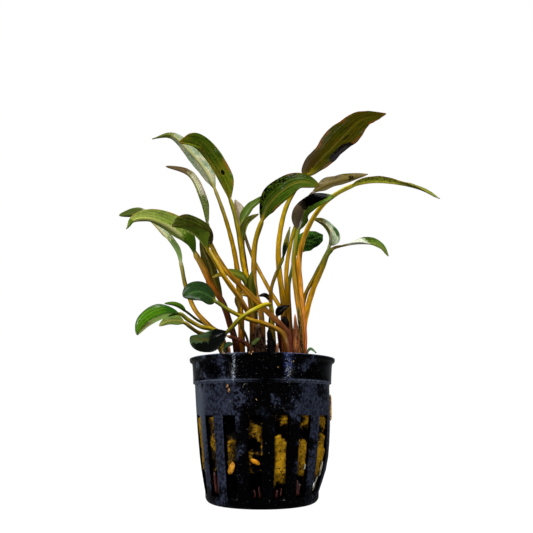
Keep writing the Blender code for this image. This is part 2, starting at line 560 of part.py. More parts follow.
def add_gravel(grain):
    """A loose bit of gravel standing in one of the slots."""
    bm = bmesh.new()
    bmesh.ops.create_icosphere(bm, subdivisions=1, radius=1.0)
    bmesh.ops.scale(bm, vec=grain["half"], verts=bm.verts)
    bmesh.ops.rotate(bm, matrix=Matrix.Rotation(grain["lean"], 3, "Y"), verts=bm.verts)
    bmesh.ops.translate(bm, vec=(0, -grain["radius"], grain["height"]), verts=bm.verts)
    angle = SLOT_OFFSET + 2 * math.pi * grain["slot"] / SLOTS
    bmesh.ops.rotate(bm, matrix=Matrix.Rotation(angle, 3, "Z"), verts=bm.verts)
    add_object(grain["name"], bm, grain["colour"], DAMP_ROUGHNESS)


for old in list(bpy.data.objects):
    bpy.data.objects.remove(old, do_unlink=True)

add_pot()
add_rockwool()
for row in LEAVES:
    add_leaf(row)
for row in CROWN:
    add_crown_piece(row)
for row in GRAVEL:
    add_gravel(row)
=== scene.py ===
"""Looks of a red cryptocoryne wendtii standing in its slotted net pot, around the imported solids."""

import math

import bpy
import numpy as np
from mathutils import Matrix, Vector, noise


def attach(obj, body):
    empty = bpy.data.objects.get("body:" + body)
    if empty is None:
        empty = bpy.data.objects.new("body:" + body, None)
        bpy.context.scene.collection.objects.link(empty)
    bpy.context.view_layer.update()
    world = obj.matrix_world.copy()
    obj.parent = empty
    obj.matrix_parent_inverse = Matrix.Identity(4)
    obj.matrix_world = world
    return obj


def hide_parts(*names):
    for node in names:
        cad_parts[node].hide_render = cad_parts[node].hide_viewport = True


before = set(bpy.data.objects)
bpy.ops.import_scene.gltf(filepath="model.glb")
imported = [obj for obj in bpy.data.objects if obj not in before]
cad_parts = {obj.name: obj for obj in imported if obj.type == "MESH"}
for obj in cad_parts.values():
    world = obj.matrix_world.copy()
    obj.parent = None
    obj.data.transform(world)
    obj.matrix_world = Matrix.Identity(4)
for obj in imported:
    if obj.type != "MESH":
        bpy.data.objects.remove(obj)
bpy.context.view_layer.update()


# View, floor and light
# The plant stands on a plain white floor under soft studio light: a broad panel overhead,
# a strip at each side and a pale room all round. The camera looks up at it from pot height.

MM = 0.001


def paint(*levels):
    """A colour as the eye reads it, red, green and blue from 0 to 255, turned into light values."""
    return (*[((c / 255 + 0.055) / 1.055) ** 2.4 if c > 10 else c / 255 / 12.92 for c in levels], 1)


def clear_selection():
    """Leaves nothing selected, so that the next operator acts on the new piece alone."""
    if bpy.context.mode != "OBJECT":
        bpy.ops.object.mode_set(mode="OBJECT")
    bpy.ops.object.select_all(action="DESELECT")


view_tilt = math.radians(15.3)
view_place = (1.45 * MM, -191.5 * MM, 26.7 * MM)
view_lens = 36.95
clear_selection()
bpy.ops.object.camera_add(location=view_place, rotation=(math.pi / 2 + view_tilt, 0, 0))
camera = bpy.context.object
camera.name = "camera"
camera.data.lens = view_lens
camera.data.sensor_width = 36
camera.data.clip_start = 0.005
bpy.context.scene.camera = camera
bpy.context.scene.view_settings.view_transform = "Standard"


def add_node(tree, kind, feeds=(), **settings):
    """Adds one shader node, with its settings and its inputs fed by values or by other nodes."""
    made = tree.nodes.new("ShaderNode" + kind)
    for key, value in settings.items():
        setattr(made, key, value)
    for key, value in dict(feeds).items():
        value = getattr(value, "socket", value)
        if isinstance(value, bpy.types.NodeSocket):
            tree.links.new(value, made.inputs[key])
        else:
            made.inputs[key].default_value = value
    return made


def start_material(name, **constants):
    """A new material with its node tree and its shader, whose sockets get these constants."""
    made = bpy.data.materials.new(name)
    made.use_nodes = True
    shader = made.node_tree.nodes["Principled BSDF"]
    for key, value in constants.items():
        shader.inputs[key.replace("_", " ")].default_value = value
    return made, made.node_tree, shader


floor_size = 6
clear_selection()
bpy.ops.mesh.primitive_plane_add(size=floor_size, location=(0, 0, -0.1 * MM))
floor = bpy.context.object
floor.name = "floor"
floor_paint, tree, shader = start_material("floor_paint", Base_Color=(0.14, 0.14, 0.14, 1), Roughness=0.9,
                                           Specular_IOR_Level=0.1)
straight = add_node(tree, "LightPath").outputs["Is Camera Ray"]
glow = add_node(tree, "Emission", {"Color": (0.97, 0.97, 0.97, 1), "Strength": straight})
both = add_node(tree, "AddShader", {0: shader.outputs[0], 1: glow.outputs[0]})
tree.links.new(both.outputs[0], tree.nodes["Material Output"].inputs["Surface"])
floor.data.materials.append(floor_paint)


def hang_light(name, place, size, power):
    """A soft rectangular studio light that looks at the middle of the plant."""
    clear_selection()
    bpy.ops.object.light_add(type="AREA", location=place)
    light = bpy.context.object
    light.name = name
    light.data.shape = "RECTANGLE"
    light.data.size, light.data.size_y = size
    light.data.energy = power
    light.rotation_euler = (plant_middle - Vector(place)).to_track_quat("-Z", "Y").to_euler()


plant_middle = Vector((0, 0, 0.09))
hang_light("light_above", (-0.15, -0.35, 0.85), (0.5, 0.5), 9)
hang_light("light_left", (-0.38, -0.37, 0.2), (0.014, 0.5), 2.1)
hang_light("light_right", (0.37, -0.38, 0.2), (0.014, 0.5), 1.9)

room = bpy.data.worlds.new("room")
room.use_nodes = True
bpy.context.scene.world = room
tree = room.node_tree
seen = tree.nodes["Background"]
seen.inputs["Color"].default_value = (1, 1, 1, 1)
lit = add_node(tree, "Background", {"Color": (0.92, 0.96, 1, 1), "Strength": 0.2})
straight = add_node(tree, "LightPath").outputs["Is Camera Ray"]
either = add_node(tree, "MixShader", {0: straight, 1: lit.outputs[0], 2: seen.outputs[0]})
tree.links.new(either.outputs[0], tree.nodes["World Output"].inputs["Surface"])


# Net pot
# The pot is black polypropylene, moulded in one with a rolled rim, a band and sixteen slots in its
# wall, and it stays wet from the tank. It is turned here as one skin, opened where the slots are,
# and then given its wall.


class Field:
    """A number, colour or place that varies over a surface, so that sums on it can be written plainly."""

    def __init__(self, socket):
        self.socket = socket
        self.tree = socket.id_data

    def __add__(self, other):
        return reckon("ADD", self, other)

    def __sub__(self, other):
        return reckon("SUBTRACT", self, other)

    def __rsub__(self, other):
        return reckon("SUBTRACT", other, self)

    def __mul__(self, other):
        return reckon("MULTIPLY", self, other)

    def __truediv__(self, other):
        return reckon("DIVIDE", self, other)

    def __abs__(self):
        return reckon("ABSOLUTE", self)

    def feeds(self, socket):
        """Feeds this input of a shader or of a group's end."""
        self.tree.links.new(self.socket, socket)


def reckon(operation, a, b=0.0, c=0.0):
    """One sum on numbers, of which a or b varies over the surface."""
    tree = a.tree if isinstance(a, Field) else b.tree
    return Field(add_node(tree, "Math", {0: a, 1: b, 2: c}, operation=operation).outputs[0])


def larger(a, b):
    """The larger of two numbers."""
    return reckon("MAXIMUM", a, b)


def step(value, low, high):
    """Rises smoothly from 0 at low to 1 at high, or falls where low is the greater."""
    feeds = {"Value": value, "From Min": low, "From Max": high}
    return Field(add_node(value.tree, "MapRange", feeds, interpolation_type="SMOOTHSTEP").outputs["Result"])


def mix(share, a, b):
    """Goes from colour a to colour b by the share."""
    return Field(add_node(share.tree, "Mix", {0: share, 6: a, 7: b}, data_type="RGBA").outputs[2])


def grain(place, scale, detail=3.0, roughness=0.5):
    """Soft noise, about 0.5 on average."""
    feeds = {"Vector": place, "Scale": scale, "Detail": detail, "Roughness": roughness}
    return Field(add_node(place.tree, "TexNoise", feeds).outputs["Fac"])


def cells(place, scale, measure):
    """How far the place is from the middle or the edge of its cell."""
    made = add_node(place.tree, "TexVoronoi", {"Vector": place, "Scale": scale}, feature=measure)
    return Field(made.outputs["Distance"])


def on_vector(operation, a, b=None):
    """A place worked out from the place a, and from b: another place or, to scale it, a number."""
    feeds = {0: a, "Scale" if operation == "SCALE" else 1: b}
    if b is None:
        del feeds[1]
    return Field(add_node(a.tree, "VectorMath", feeds, operation=operation).outputs[0])


def split(place):
    """The three numbers of a place."""
    return [Field(part) for part in add_node(place.tree, "SeparateXYZ", {0: place}).outputs]


def object_place(tree):
    """The place on the object, in millimetres."""
    place = Field(add_node(tree, "TexCoord").outputs["Object"])
    return on_vector("SCALE", place, 1000.0)


def raise_surface(shader, height, distance):
    """Lets a height map roughen the surface, by the distance in metres."""
    bump = add_node(height.tree, "Bump", {"Height": height, "Distance": distance, "Strength": 1.0})
    height.tree.links.new(bump.outputs["Normal"], shader.inputs["Normal"])


pot_columns = 240
slot_spacing = 22.5
slot_turn = math.radians(17)
slot_half = 6.0
floor_slot_spacing = 45
floor_slot_half = 8.25
floor_slot_start, floor_slot_end = 7, 14
slot_low, slot_high = 3.0, 27.0
wall_foot = 3.5
ledge_height = 37.0
foot_radius, ledge_radius = 18.5, 22.9
pot_wall = 1.0
panel_half = slot_half - 0.8
panel_depth = 0.16
panel_top = 36
bulges = ((75, 2.1), (-88, 0.7))
bulge_spread = 32
bulge_rise, bulge_fall = 10.5, 23
bevel_width = 0.14


def arc(centre, radius, first, last, count):
    """Points on a round corner of the pot's half section."""
    angles = np.radians(np.linspace(first, last, count))
    return [(centre[0] + radius * math.cos(a), centre[1] + radius * math.sin(a)) for a in angles]


def body_radius(height):
    """The pot's outer radius below the ledge."""
    return foot_radius + (ledge_radius - foot_radius) * (height - wall_foot) / (ledge_height - wall_foot)


def bow(x, y, height):
    """How far the wool has pushed the slotted wall out, most at the right side and at mid height.

    Each of bulges has its angle from the front, in degrees, and how far it stands out.
    """
    share = min((height - wall_foot) / bulge_rise, (ledge_height - height) / bulge_fall)
    push = 0
    for middle, most in bulges:
        off = abs((math.degrees(math.atan2(x, -y)) - middle + 180) % 360 - 180)
        push += most * math.cos(math.radians(min(off / bulge_spread, 1) * 90)) ** 2
    return push * math.sin(math.radians(90 * max(share, 0)))


pot_line = [(2.5, 0), (6.9, 0), (7.0, 0), (10.5, 0), (14.0, 0), (14.1, 0), (15.4, 0)]
pot_line += arc((16.4, 2.0), 2.0, -90, -8, 6)
pot_line += [(body_radius(z), z) for z in (slot_low, slot_low + 0.2, 6, 10, 14, 18, 22, 25)]
pot_line += [(body_radius(z), z) for z in (slot_high - 0.2, slot_high, 29, 32, 35, 36.4)]
pot_line += [(22.86, 36.75), (22.95, 36.98), (23.15, 37.08)]
pot_line += arc((23.2, 37.4), 0.3, -80, 0, 4)
pot_line += [(23.65, 40), (23.85, 42.4), (24.0, 43.5), (24.05, 43.7), (24.2, 43.95), (24.5, 44.15)]
pot_line += [(24.8, 44.4), (24.95, 44.75), (24.98, 45.1), (24.95, 45.45)]

clear_selection()
bpy.ops.mesh.primitive_circle_add(vertices=pot_columns, radius=pot_line[0][0] * MM, fill_type="NGON")
pot = bpy.context.object
pot.name = "net_pot"
bpy.ops.object.mode_set(mode="EDIT")
bpy.ops.mesh.select_all(action="SELECT")
for (last_radius, last_height), (radius, height) in zip(pot_line, pot_line[1:]):
    rise = (0, 0, (height - last_height) * MM)
    bpy.ops.mesh.extrude_edges_move(TRANSFORM_OT_translate={"value": rise})
    scale = radius / last_radius
    bpy.ops.transform.resize(value=(scale, scale, 1))
bpy.ops.object.mode_set(mode="OBJECT")
pot.data.transform(Matrix.Rotation(math.radians(0.5), 4, "Z"))


def angle_from(place, turn, pitch):
    """How far, in degrees, the place lies from the nearest of the slots round the axis."""
    angle = math.degrees(math.atan2(place[0], -place[1]) - turn)
    return abs((angle + pitch / 2) % pitch - pitch / 2)


for vertex in pot.data.vertices:
    height = vertex.co.z / MM
    if height < slot_low or height > ledge_height:
        continue
    push = bow(*vertex.co.xy, height)
    in_panel = angle_from(vertex.co, slot_turn, slot_spacing) < panel_half
    if in_panel and slot_high + 0.1 < height < panel_top:
        push -= panel_depth
    grown = 1 + push * MM / vertex.co.xy.length
    vertex.co.x *= grown
    vertex.co.y *= grown
floor_slot_turn = slot_turn + math.radians(slot_spacing)
for face in pot.data.polygons:
    height = face.center.z / MM
    radius = face.center.xy.length / MM
    in_slot = angle_from(face.center, slot_turn, slot_spacing) < slot_half
    in_floor_slot = angle_from(face.center, floor_slot_turn, floor_slot_spacing) < floor_slot_half
    in_floor = floor_slot_start < radius < floor_slot_end and height < 0.01
    face.select = (in_slot and slot_low < height < slot_high) or (in_floor_slot and in_floor)
bpy.ops.object.mode_set(mode="EDIT")
bpy.ops.mesh.delete(type="FACE")
bpy.ops.mesh.select_all(action="SELECT")
bpy.ops.mesh.normals_make_consistent(inside=False)
bpy.ops.object.mode_set(mode="OBJECT")
outermost = max(pot.data.polygons, key=lambda face: face.center.xy.length)
if outermost.normal.xy.dot(outermost.center.xy) < 0:
    pot.data.flip_normals()


def finish_with(piece, kind, **settings):
    """Adds a modifier with its settings and applies it."""
    modifier = piece.modifiers.new(kind.lower(), kind)
    for key, value in settings.items():
        setattr(modifier, key, value)
    bpy.context.view_layer.objects.active = piece
    bpy.ops.object.modifier_apply(modifier=modifier.name)


finish_with(pot, "SOLIDIFY", thickness=pot_wall * MM, offset=-1, use_even_offset=True)
finish_with(pot, "BEVEL", width=bevel_width * MM, segments=2, limit_method="ANGLE",
            angle_limit=math.radians(50))
clear_selection()
pot.select_set(True)
bpy.ops.object.shade_smooth_by_angle(angle=math.radians(35))

pot_plastic, tree, shader = start_material("pot_plastic", Specular_IOR_Level=0.05)
place = object_place(tree)
spot_x, spot_y, spot_z = split(place)
film = grain(place, 0.2, 4, 0.58)
smear = grain(place, 1.1, 4, 0.6)
from_middle = abs(spot_x - 1.5)
front_middle = step(from_middle, 11.0, 5.0) * step(spot_y, 5.0, -5.0)
in_band = step(spot_z, 36.5, 37.0)
shoulder = step(spot_z, 24.0, 29.0) * step(spot_z, 36.0, 32.5)
# Painted sheen on a dry film: the wet pot's dull blue-grey patches are laid heavier towards its flanks,
# where the room's reflection falls, and lighter at its front middle and near its foot.
film_and_sheen = film + smear * 0.3 - front_middle * 0.2 - in_band * 0.08 + shoulder * 0.12
film_and_sheen = film_and_sheen + step(spot_x, -2.0, -13.0) * 0.07 - step(spot_z, 8.0, 2.0) * 0.15
sides = larger(step(spot_x, -9.0, -16.0), step(spot_x, 10.0, 15.0))
film_and_sheen = film_and_sheen + sides * step(spot_z, 32.0, 26.0) * 0.09
dried_and_sheen = step(film_and_sheen, 0.66, 0.7) * 0.65 + step(film_and_sheen, 0.56, 0.72) * 0.35
outward = on_vector("NORMALIZE", on_vector("MULTIPLY", place, (1, 1, 0)))
skin_way = add_node(tree, "TexCoord").outputs["Normal"]
outer = add_node(tree, "VectorMath", {0: outward, 1: skin_way}, operation="DOT_PRODUCT").outputs["Value"]
dried_and_sheen = dried_and_sheen * step(Field(outer), 0.3, 0.7)
# The blue-grey of the dry film and of the painted sheen.
slate = mix(step(smear, 0.38, 0.62), paint(16, 18, 26), paint(46, 51, 68))
# Painted reflection: the slate turns paler grey along the pot's far left flank.
slate = mix(step(spot_x, -17.0, -20.5) * 0.8, slate, paint(84, 92, 104))
fleck = step(cells(place, 1.6, "F1"), 0.16, 0.08) * step(smear, 0.45, 0.6)
fleck = larger(fleck, step(cells(place, 0.5, "F1"), 0.11, 0.07) * step(film, 0.48, 0.56))
fleck = fleck * (step(spot_z, 20.0, 33.0) * 0.7 + 0.3)
# Painted highlight: a pale blue-grey line along the ledge and along the top of the rim, none at the front
# middle and broken up by the smear.
ledge_highlight = step(spot_z, 36.5, 36.9) * step(spot_z, 37.9, 37.5)
edge_highlights = larger(ledge_highlight, step(spot_z, 45.1, 45.35)) * step(from_middle, 0.0, 14.0)
edge_highlights = edge_highlights * step(smear, 0.3, 0.55)
black = mix(dried_and_sheen, paint(0, 0, 1), slate)
black = mix(edge_highlights, black, paint(76, 82, 100))
# Painted highlights: pale glints of water beads over the pot, gathered into two upright streaks on the band
# where the side lights reflect, the right one with painted blue reflections.
bead_glints = grain(place, 2.6, 3, 0.7)
left_glint_streak = step(abs(spot_x + 8.6), 1.0, 0.2) * in_band
right_glint_streak = step(abs(spot_x - 8.2), 2.0, 0.4) * in_band
blue = grain(place, 0.8, 4, 0.7) + step(spot_z, 38.0, 45.0) * 0.16
black = mix(right_glint_streak * step(blue, 0.52, 0.66), black, paint(36, 45, 88))
bead_glint_level = bead_glints + larger(left_glint_streak, right_glint_streak * 0.7) * 0.2
black = mix(step(bead_glint_level, 0.7, 0.76), black, paint(150, 158, 172))
mix(fleck * 0.7, black, paint(132, 128, 112)).feeds(shader.inputs["Base Color"])
reckon("MULTIPLY_ADD", dried_and_sheen, 0.25, 0.05).feeds(shader.inputs["Roughness"])
raise_surface(shader, smear * 0.5 + grain(place, 3.0, 2), 0.00003)
pot.data.materials.append(pot_plastic)

chance = np.random.default_rng(7)
strand_end = 0.35


def tubes(name, lines, radii, sides=3):
    """Thin round strands along the lines, each thinner at its ends, as one mesh."""
    points = []
    faces = []
    for line, radius in zip(lines, radii):
        start = len(points)
        line = np.asarray(line, float)
        ahead = np.gradient(line, axis=0)
        across = np.cross(ahead, (0.31, 0.55, 0.77))
        across /= np.linalg.norm(across, axis=1, keepdims=True)
        over = np.cross(ahead, across)
        over /= np.linalg.norm(over, axis=1, keepdims=True)
        for index in range(len(line)):
            size = radius * (strand_end if index in (0, len(line) - 1) else 1)
            for k in range(sides):
                turn = 2 * math.pi * k / sides
                ray = across[index] * math.cos(turn) + over[index] * math.sin(turn)
                points.append(line[index] + ray * size)
        for ring in range(len(line) - 1):
            for k in range(sides):
                a, b = start + ring * sides + k, start + ring * sides + (k + 1) % sides
                faces.append((a, b, b + sides, a + sides))
        faces.append(tuple(range(start + sides - 1, start - 1, -1)))
        faces.append(tuple(range(len(points) - sides, len(points))))
    mesh = bpy.data.meshes.new(name)
    mesh.from_pydata([Vector(p) * MM for p in points], [], faces)
    mesh.shade_smooth()
    piece = bpy.data.objects.new(name, mesh)
    bpy.context.scene.collection.objects.link(piece)
    return piece


def on_wall(degrees, height, radius):
    """A place in the pot at the angle from the front."""
    angle = math.radians(degrees)
    return math.sin(angle) * radius, -math.cos(angle) * radius, height


def wall_radius(degrees, height):
    """The radius of the pot's outer skin there."""
    x, y, z = on_wall(degrees, height, 20)
    skin = [radius for radius, level in sorted(pot_line, key=lambda row: abs(row[1] - height))[:2]]
    return (body_radius(height) if height < ledge_height else max(skin)) + bow(x, y, z)


def join_pieces(name, pieces):
    """Makes one piece of several."""
    clear_selection()
    for piece in pieces:
        piece.select_set(True)
    bpy.context.view_layer.objects.active = pieces[0]
    bpy.ops.object.join()
    pieces[0].name = name
    return pieces[0]


# Crumbs stick to the wet pot, each given by its angle, height and size, and a sliver of wool hangs
# on its right side.
crumbs = [(-27.5, 35.4, 0.34), (-26.2, 34.7, 0.25), (-26.8, 34.0, 0.22), (-27.6, 45.4, 0.16),
          (-8.5, 45.3, 0.22), (-7.2, 44.8, 0.16), (-6.2, 45.5, 0.13), (12, 41, 0.12), (-4, 31.5, 0.14),
          (24, 43, 0.12)]
sliver_radius = 0.36
lines = []
for degrees, level, size in crumbs:
    turns = chance.uniform(-1, 1, 3)
    radius = wall_radius(degrees, level) + size * 0.4
    line = [(degrees + turns[0] * t * size * 3, level + (1.8 * t + turns[1] * t * t) * size)
            for t in (-1, -0.4, 0.3, 1)]
    lines.append([on_wall(*spot, radius) for spot in line])
sliver = [(80 + 1.5 * math.sin(t * 5), 33.6 - 8.3 * t) for t in np.linspace(0, 1, 12)]
lines.append([on_wall(degrees, level, wall_radius(degrees, level) + 0.2) for degrees, level in sliver])
bits = tubes("bits", lines, [row[2] for row in crumbs] + [sliver_radius], 7)
crumb_finish, tree, shader = start_material("crumbs", Roughness=0.6)
crumb_shade = grain(object_place(tree), 1.3, 3)
crumb_tone = mix(step(crumb_shade, 0.4, 0.6), paint(104, 56, 16), paint(206, 164, 88))
crumb_tone.feeds(shader.inputs["Base Color"])
raise_surface(shader, crumb_shade, 0.0001)
bits.data.materials.append(crumb_finish)
pot = join_pieces("net_pot", [pot, bits])
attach(pot, "root")
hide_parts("pot")


# Plug of mineral wool
# A plug of ochre mineral wool fills the pot and holds the roots. It is spun fibre, pushed in by
# hand, so it bulges in the slots, gapes between them and ends above the pot's floor. Its gaps, pits
# and the slots on the left carry painted shade, its strands painted glints, and its lower part is
# painted darker, as wet wool and as shade.


def wrap_grid(name, around, along, points, **marks):
    """A grid whose rows are laid along a form and whose columns run round it, closed into one skin.

    points holds a place in millimetres for each row and column, and marks adds named vectors to them.
    """
    clear_selection()
    bpy.ops.mesh.primitive_grid_add(x_subdivisions=around, y_subdivisions=along, size=1)
    piece = bpy.context.object
    piece.name = name
    mesh = piece.data
    flat = np.empty(len(mesh.vertices) * 3, np.float32)
    mesh.vertices.foreach_get("co", flat)
    column = np.rint((flat[0::3] + 0.5) * around).astype(int)
    row = np.rint((flat[1::3] + 0.5) * along).astype(int)
    mesh.vertices.foreach_set("co", (points[row, column] * MM).astype(np.float32).ravel())
    for label, values in marks.items():
        mark = mesh.attributes.new(label, "FLOAT_VECTOR", "POINT")
        mark.data.foreach_set("vector", values[row, column].astype(np.float32).ravel())
    bpy.ops.object.mode_set(mode="EDIT")
    bpy.ops.mesh.select_all(action="SELECT")
    bpy.ops.mesh.remove_doubles(threshold=0.000001)
    bpy.ops.mesh.normals_make_consistent(inside=False)
    bpy.ops.object.mode_set(mode="OBJECT")
    bpy.ops.object.shade_smooth()
    return piece


wool_top, wool_foot = 40.4, 1.8
foot_rise, top_fall = 1.2, 1.0
foot_share, wall_share = 0.1, 0.8
wool_gap = 0.15
slot_bulge = 0.9
bare_slot = 287
fibre_count, top_fibre_count = 1700, 260
fibre_radius = 0.045
wool_gaps = [(-28, 24.5, 4, 5), (-38, 18, 2.2, 2), (-28, 17, 5, 0.75), (-24, 12, 2.6, 3), (-32, 7, 3, 4),
             (-4, 26.5, 2.2, 4), (-6, 21.5, 4, 0.7), (-10, 18, 2.4, 4), (-1, 13, 2.6, 5), (-7, 7, 3, 5),
             (13, 23.2, 2, 4), (20, 22.6, 2, 4), (21, 4.5, 2, 4), (33, 25.2, 2, 4), (36, 21.8, 1.9, 4),
             (43, 21.4, 1.7, 4), (39, 6.5, 3.3, 4), (62, 21.4, 1.4, 3), (66, 6, 3.3, 4), (-50, 16, 11, 0.6),
             (-50, 6, 3, 4), (120, 18, 5, 4), (150, 8, 4, 4), (-120, 22, 5, 4), (-160, 12, 5, 4),
             (178, 24, 4, 4)]
wool_columns, wool_rows = 200, 130
points = np.zeros((wool_rows + 1, wool_columns + 1, 3))
deep = np.zeros(points.shape)


def gap_depth(angle, height, limit):
    """How deep the wool gapes at this angle, in radians from the front, and height.

    Each of wool_gaps has its angle, height, reach and depth.
    """
    depth = 0
    spot = Vector((math.sin(angle) * 18, -math.cos(angle) * 18, height)) * 0.35
    sway = noise.noise(spot) * 1.8 + noise.noise(spot * 3.1) * 1.2
    dip = noise.noise(spot + Vector((9, 9, 9))) * 2.4 + noise.noise(spot * 3.3) * 1.4
    for degrees, middle, reach, most in wool_gaps:
        off = (math.degrees(angle) + sway * 3 - degrees + 180) % 360 - 180
        near = math.hypot(math.radians(off) * limit, height + dip - middle) / reach
        depth = max(depth, most * math.exp(-near**4))
    return depth


for row in range(wool_rows + 1):
    share = row / wool_rows
    if share < foot_share:
        inward = share / foot_share
        height = wool_foot + foot_rise * inward
    elif share < wall_share:
        inward = 1
        wall_rise = wool_top - top_fall - foot_rise - wool_foot
        height = wool_foot + foot_rise + wall_rise * (share - foot_share) / (wall_share - foot_share)
    else:
        inward = (1 - share) / (1 - wall_share)
        height = wool_top - top_fall + 0.8 * math.sin((1 - inward) * math.pi / 2)
    limit = body_radius(max(height, wall_foot)) - pot_wall - wool_gap - 1.8 * max(0, 9 - height) / 7
    for column in range(wool_columns):
        angle = 2 * math.pi * column / wool_columns
        right, back = math.sin(angle), -math.cos(angle)
        edge = limit + bow(right, back, height)
        in_slot = angle_from((right, back), slot_turn, slot_spacing) < slot_half - 1.2
        edge += slot_bulge * (in_slot and slot_low + 7 < height < slot_high - 0.6)
        left_slot = abs(math.degrees(angle) - bare_slot) < 9 and height > 8
        gape = 0 if left_slot else gap_depth(angle, height, limit)
        radius = edge - gape
        spot = Vector((right * radius, back * radius, height))
        rough = noise.fractal(spot * 0.9, 0.8, 2.1, 5) * 0.55 + noise.noise(spot * 0.22) * 1.1
        rough *= 0.25 if left_slot else 1
        radius = min(radius + rough - 0.15, edge) * inward
        # The gap's depth, less the roughness, is marked for the painted shade in the gaps.
        deep[row, column, 0] = (gape - rough * 0.8) / 3
        rise = rough * 0.9 if share > wall_share else 0
        points[row, column] = right * radius, back * radius, min(height + rise, wool_top)
points[:, -1] = points[:, 0]
points[0, :] = points[0, :].mean(axis=0)
points[-1, :] = points[-1, :].mean(axis=0)
deep[:, -1] = deep[:, 0]
wool = wrap_grid("wool", wool_columns, wool_rows, points, deep=deep)

fibre_lines = []
while len(fibre_lines) < fibre_count:
    angle = chance.uniform(-math.pi, math.pi)
    height = chance.uniform(9, 38.5)
    lean = chance.uniform(-1.3, 1.3)
    length = chance.uniform(1.5, 4.5)
    bend = chance.uniform(-0.8, 0.8)
    limit = body_radius(height) - pot_wall - 0.45
    if gap_depth(angle, height, limit) > 0.6:
        continue
    base = limit + bow(math.sin(angle), -math.cos(angle), height) - chance.uniform(0, 0.6)
    line = []
    for t in np.linspace(-0.5, 0.5, 6):
        turned = angle + (t * length * math.sin(lean) + bend * t * t * 2) / limit
        line.append(on_wall(math.degrees(turned), height + t * length * math.cos(lean), base - 1.6 * t * t))
    fibre_lines.append(line)
for _ in range(top_fibre_count):
    x, y = chance.uniform(-20, 20, 2)
    if math.hypot(x, y) < 19.5:
        lean = chance.uniform(0, 6.3)
        length = chance.uniform(1.5, 4)
        across, along = length * math.cos(lean), length * math.sin(lean)
        line = [(x + t * across, y + t * along, wool_top - 0.1 - 2 * t * t)
                for t in np.linspace(-0.5, 0.5, 6)]
        fibre_lines.append(line)
fibres = tubes("wool_fibres", fibre_lines, [fibre_radius] * len(fibre_lines))


def read_marks(tree, label):
    """The three numbers that a mesh carries under this name."""
    return split(Field(add_node(tree, "Attribute", attribute_name=label).outputs["Vector"]))


wool_finish, tree, shader = start_material("mineral_wool", Roughness=0.75, Specular_IOR_Level=0.08)
place = object_place(tree)
wool_x, _, high = split(place)
tuft = grain(place, 0.35, 5, 0.6)
strand = grain(place, 5.0, 3, 0.7)
speck = grain(place, 1.9, 3, 0.7)
pit = grain(place, 0.75, 4, 0.7)
tone = mix(step(tuft, 0.35, 0.6), paint(126, 88, 6), paint(184, 136, 10))
# Painted highlights: pale glints along the fine strands of the fibre.
tone = mix(step(strand, 0.5, 0.8), tone, paint(206, 164, 40))
# Painted shade: the wool behind the second and third slots from the left is darkened, broken up by the
# tufts.
left_slot_shade = step(wool_x, -19.3, -18.3) * step(wool_x, -5.0, -8.0)
tone = mix(left_slot_shade * step(tuft, 0.62, 0.42), tone, paint(40, 27, 8))
tone = mix(step(speck, 0.5, 0.36), tone, paint(54, 38, 6))
# Painted shade: near-black pits scattered over the wool, as holes in the fibre.
tone = mix(step(pit, 0.42, 0.34), tone, paint(12, 9, 4))
# Painted shade: the wool goes near black where it gapes back from the wall, broken up by the specks.
hollow = read_marks(tree, "deep")[0]
tone = mix(step(hollow + (speck - 0.5) * 1.6, 0.05, 0.35), tone, paint(8, 6, 4))
# Darker towards the bottom, painted both as wet wool and as the shade low inside the pot.
tone = mix(step(high + tuft * 6, 10.5, 8.5), tone, paint(12, 7, 5))
tone = mix(step(high, 33, 38) * 0.75, tone, paint(44, 34, 14))
tone.feeds(shader.inputs["Base Color"])
raise_surface(shader, strand, 0.0004)
wool.data.materials.append(wool_finish)
fibres.data.materials.append(wool_finish)
wool = join_pieces("wool", [wool, fibres])


def lay_roots(name, red, green, blue, rows):
    """Root ends on the wool, each row the angle, upper end, lower end, depth and thickness of one."""
    lines = []
    for degrees, high, low, depth, _ in rows:
        line = []
        for t in np.linspace(0, 1, 9):
            sway = 0.5 * math.sin(t * 4 + degrees)
            level = high + (low - high) * t
            inside = wall_radius(degrees, max(level, wall_foot)) - pot_wall
            line.append(on_wall(degrees + sway, level, inside - depth + 0.3 - 0.2 * t))
        lines.append(line)
    roots = tubes(name, lines, [row[4] * 0.7 for row in rows], 10)
    root_paint, tree, shader = start_material(name, Roughness=0.4)
    shade = grain(object_place(tree), 1.6, 3)
    colour = paint(red, green, blue)
    dark = tuple(c * 0.35 for c in colour[:3]) + (1,)
    mix(step(shade, 0.35, 0.65), dark, colour).feeds(shader.inputs["Base Color"])
    raise_surface(shader, shade, 0.0002)
    roots.data.materials.append(root_paint)
    return roots


red_roots = lay_roots("root_red", 74, 22, 14, [
    (-54, 10, 3.6, 0.5, 0.7), (-49, 9, 3.4, 0.6, 0.6), (-63, 8, 4, 0.4, 0.4), (37, 8, 3.4, 0.5, 0.7),
    (40, 7, 3.5, 0.4, 0.5), (15, 5.5, 3.3, 0.5, 0.6), (19, 6, 3.6, 0.4, 0.3), (-2, 6.5, 3.3, 0.5, 0.4),
    (-7, 5.6, 3.3, 0.4, 0.3), (120, 10, 3.4, 0.5, 0.5), (165, 9, 3.4, 0.4, 0.5), (-130, 9, 3.4, 0.5, 0.4)])
pale_roots = lay_roots("root_pale", 206, 198, 176, [
    (43.5, 12.6, 11, -0.2, 0.4), (66, 13, 8.5, -0.2, 0.45), (65.5, 8.5, 4, 0.4, 0.3),
    (140, 12, 6, 0.4, 0.35), (-100, 11, 5, 0.4, 0.3)])
wool = join_pieces("wool", [wool, red_roots, pale_roots])
bpy.ops.object.mode_set(mode="EDIT")
bpy.ops.mesh.select_all(action="SELECT")
bpy.ops.mesh.normals_make_consistent(inside=False)
bpy.ops.object.mode_set(mode="OBJECT")
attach(wool, "root")
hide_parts("rockwool")


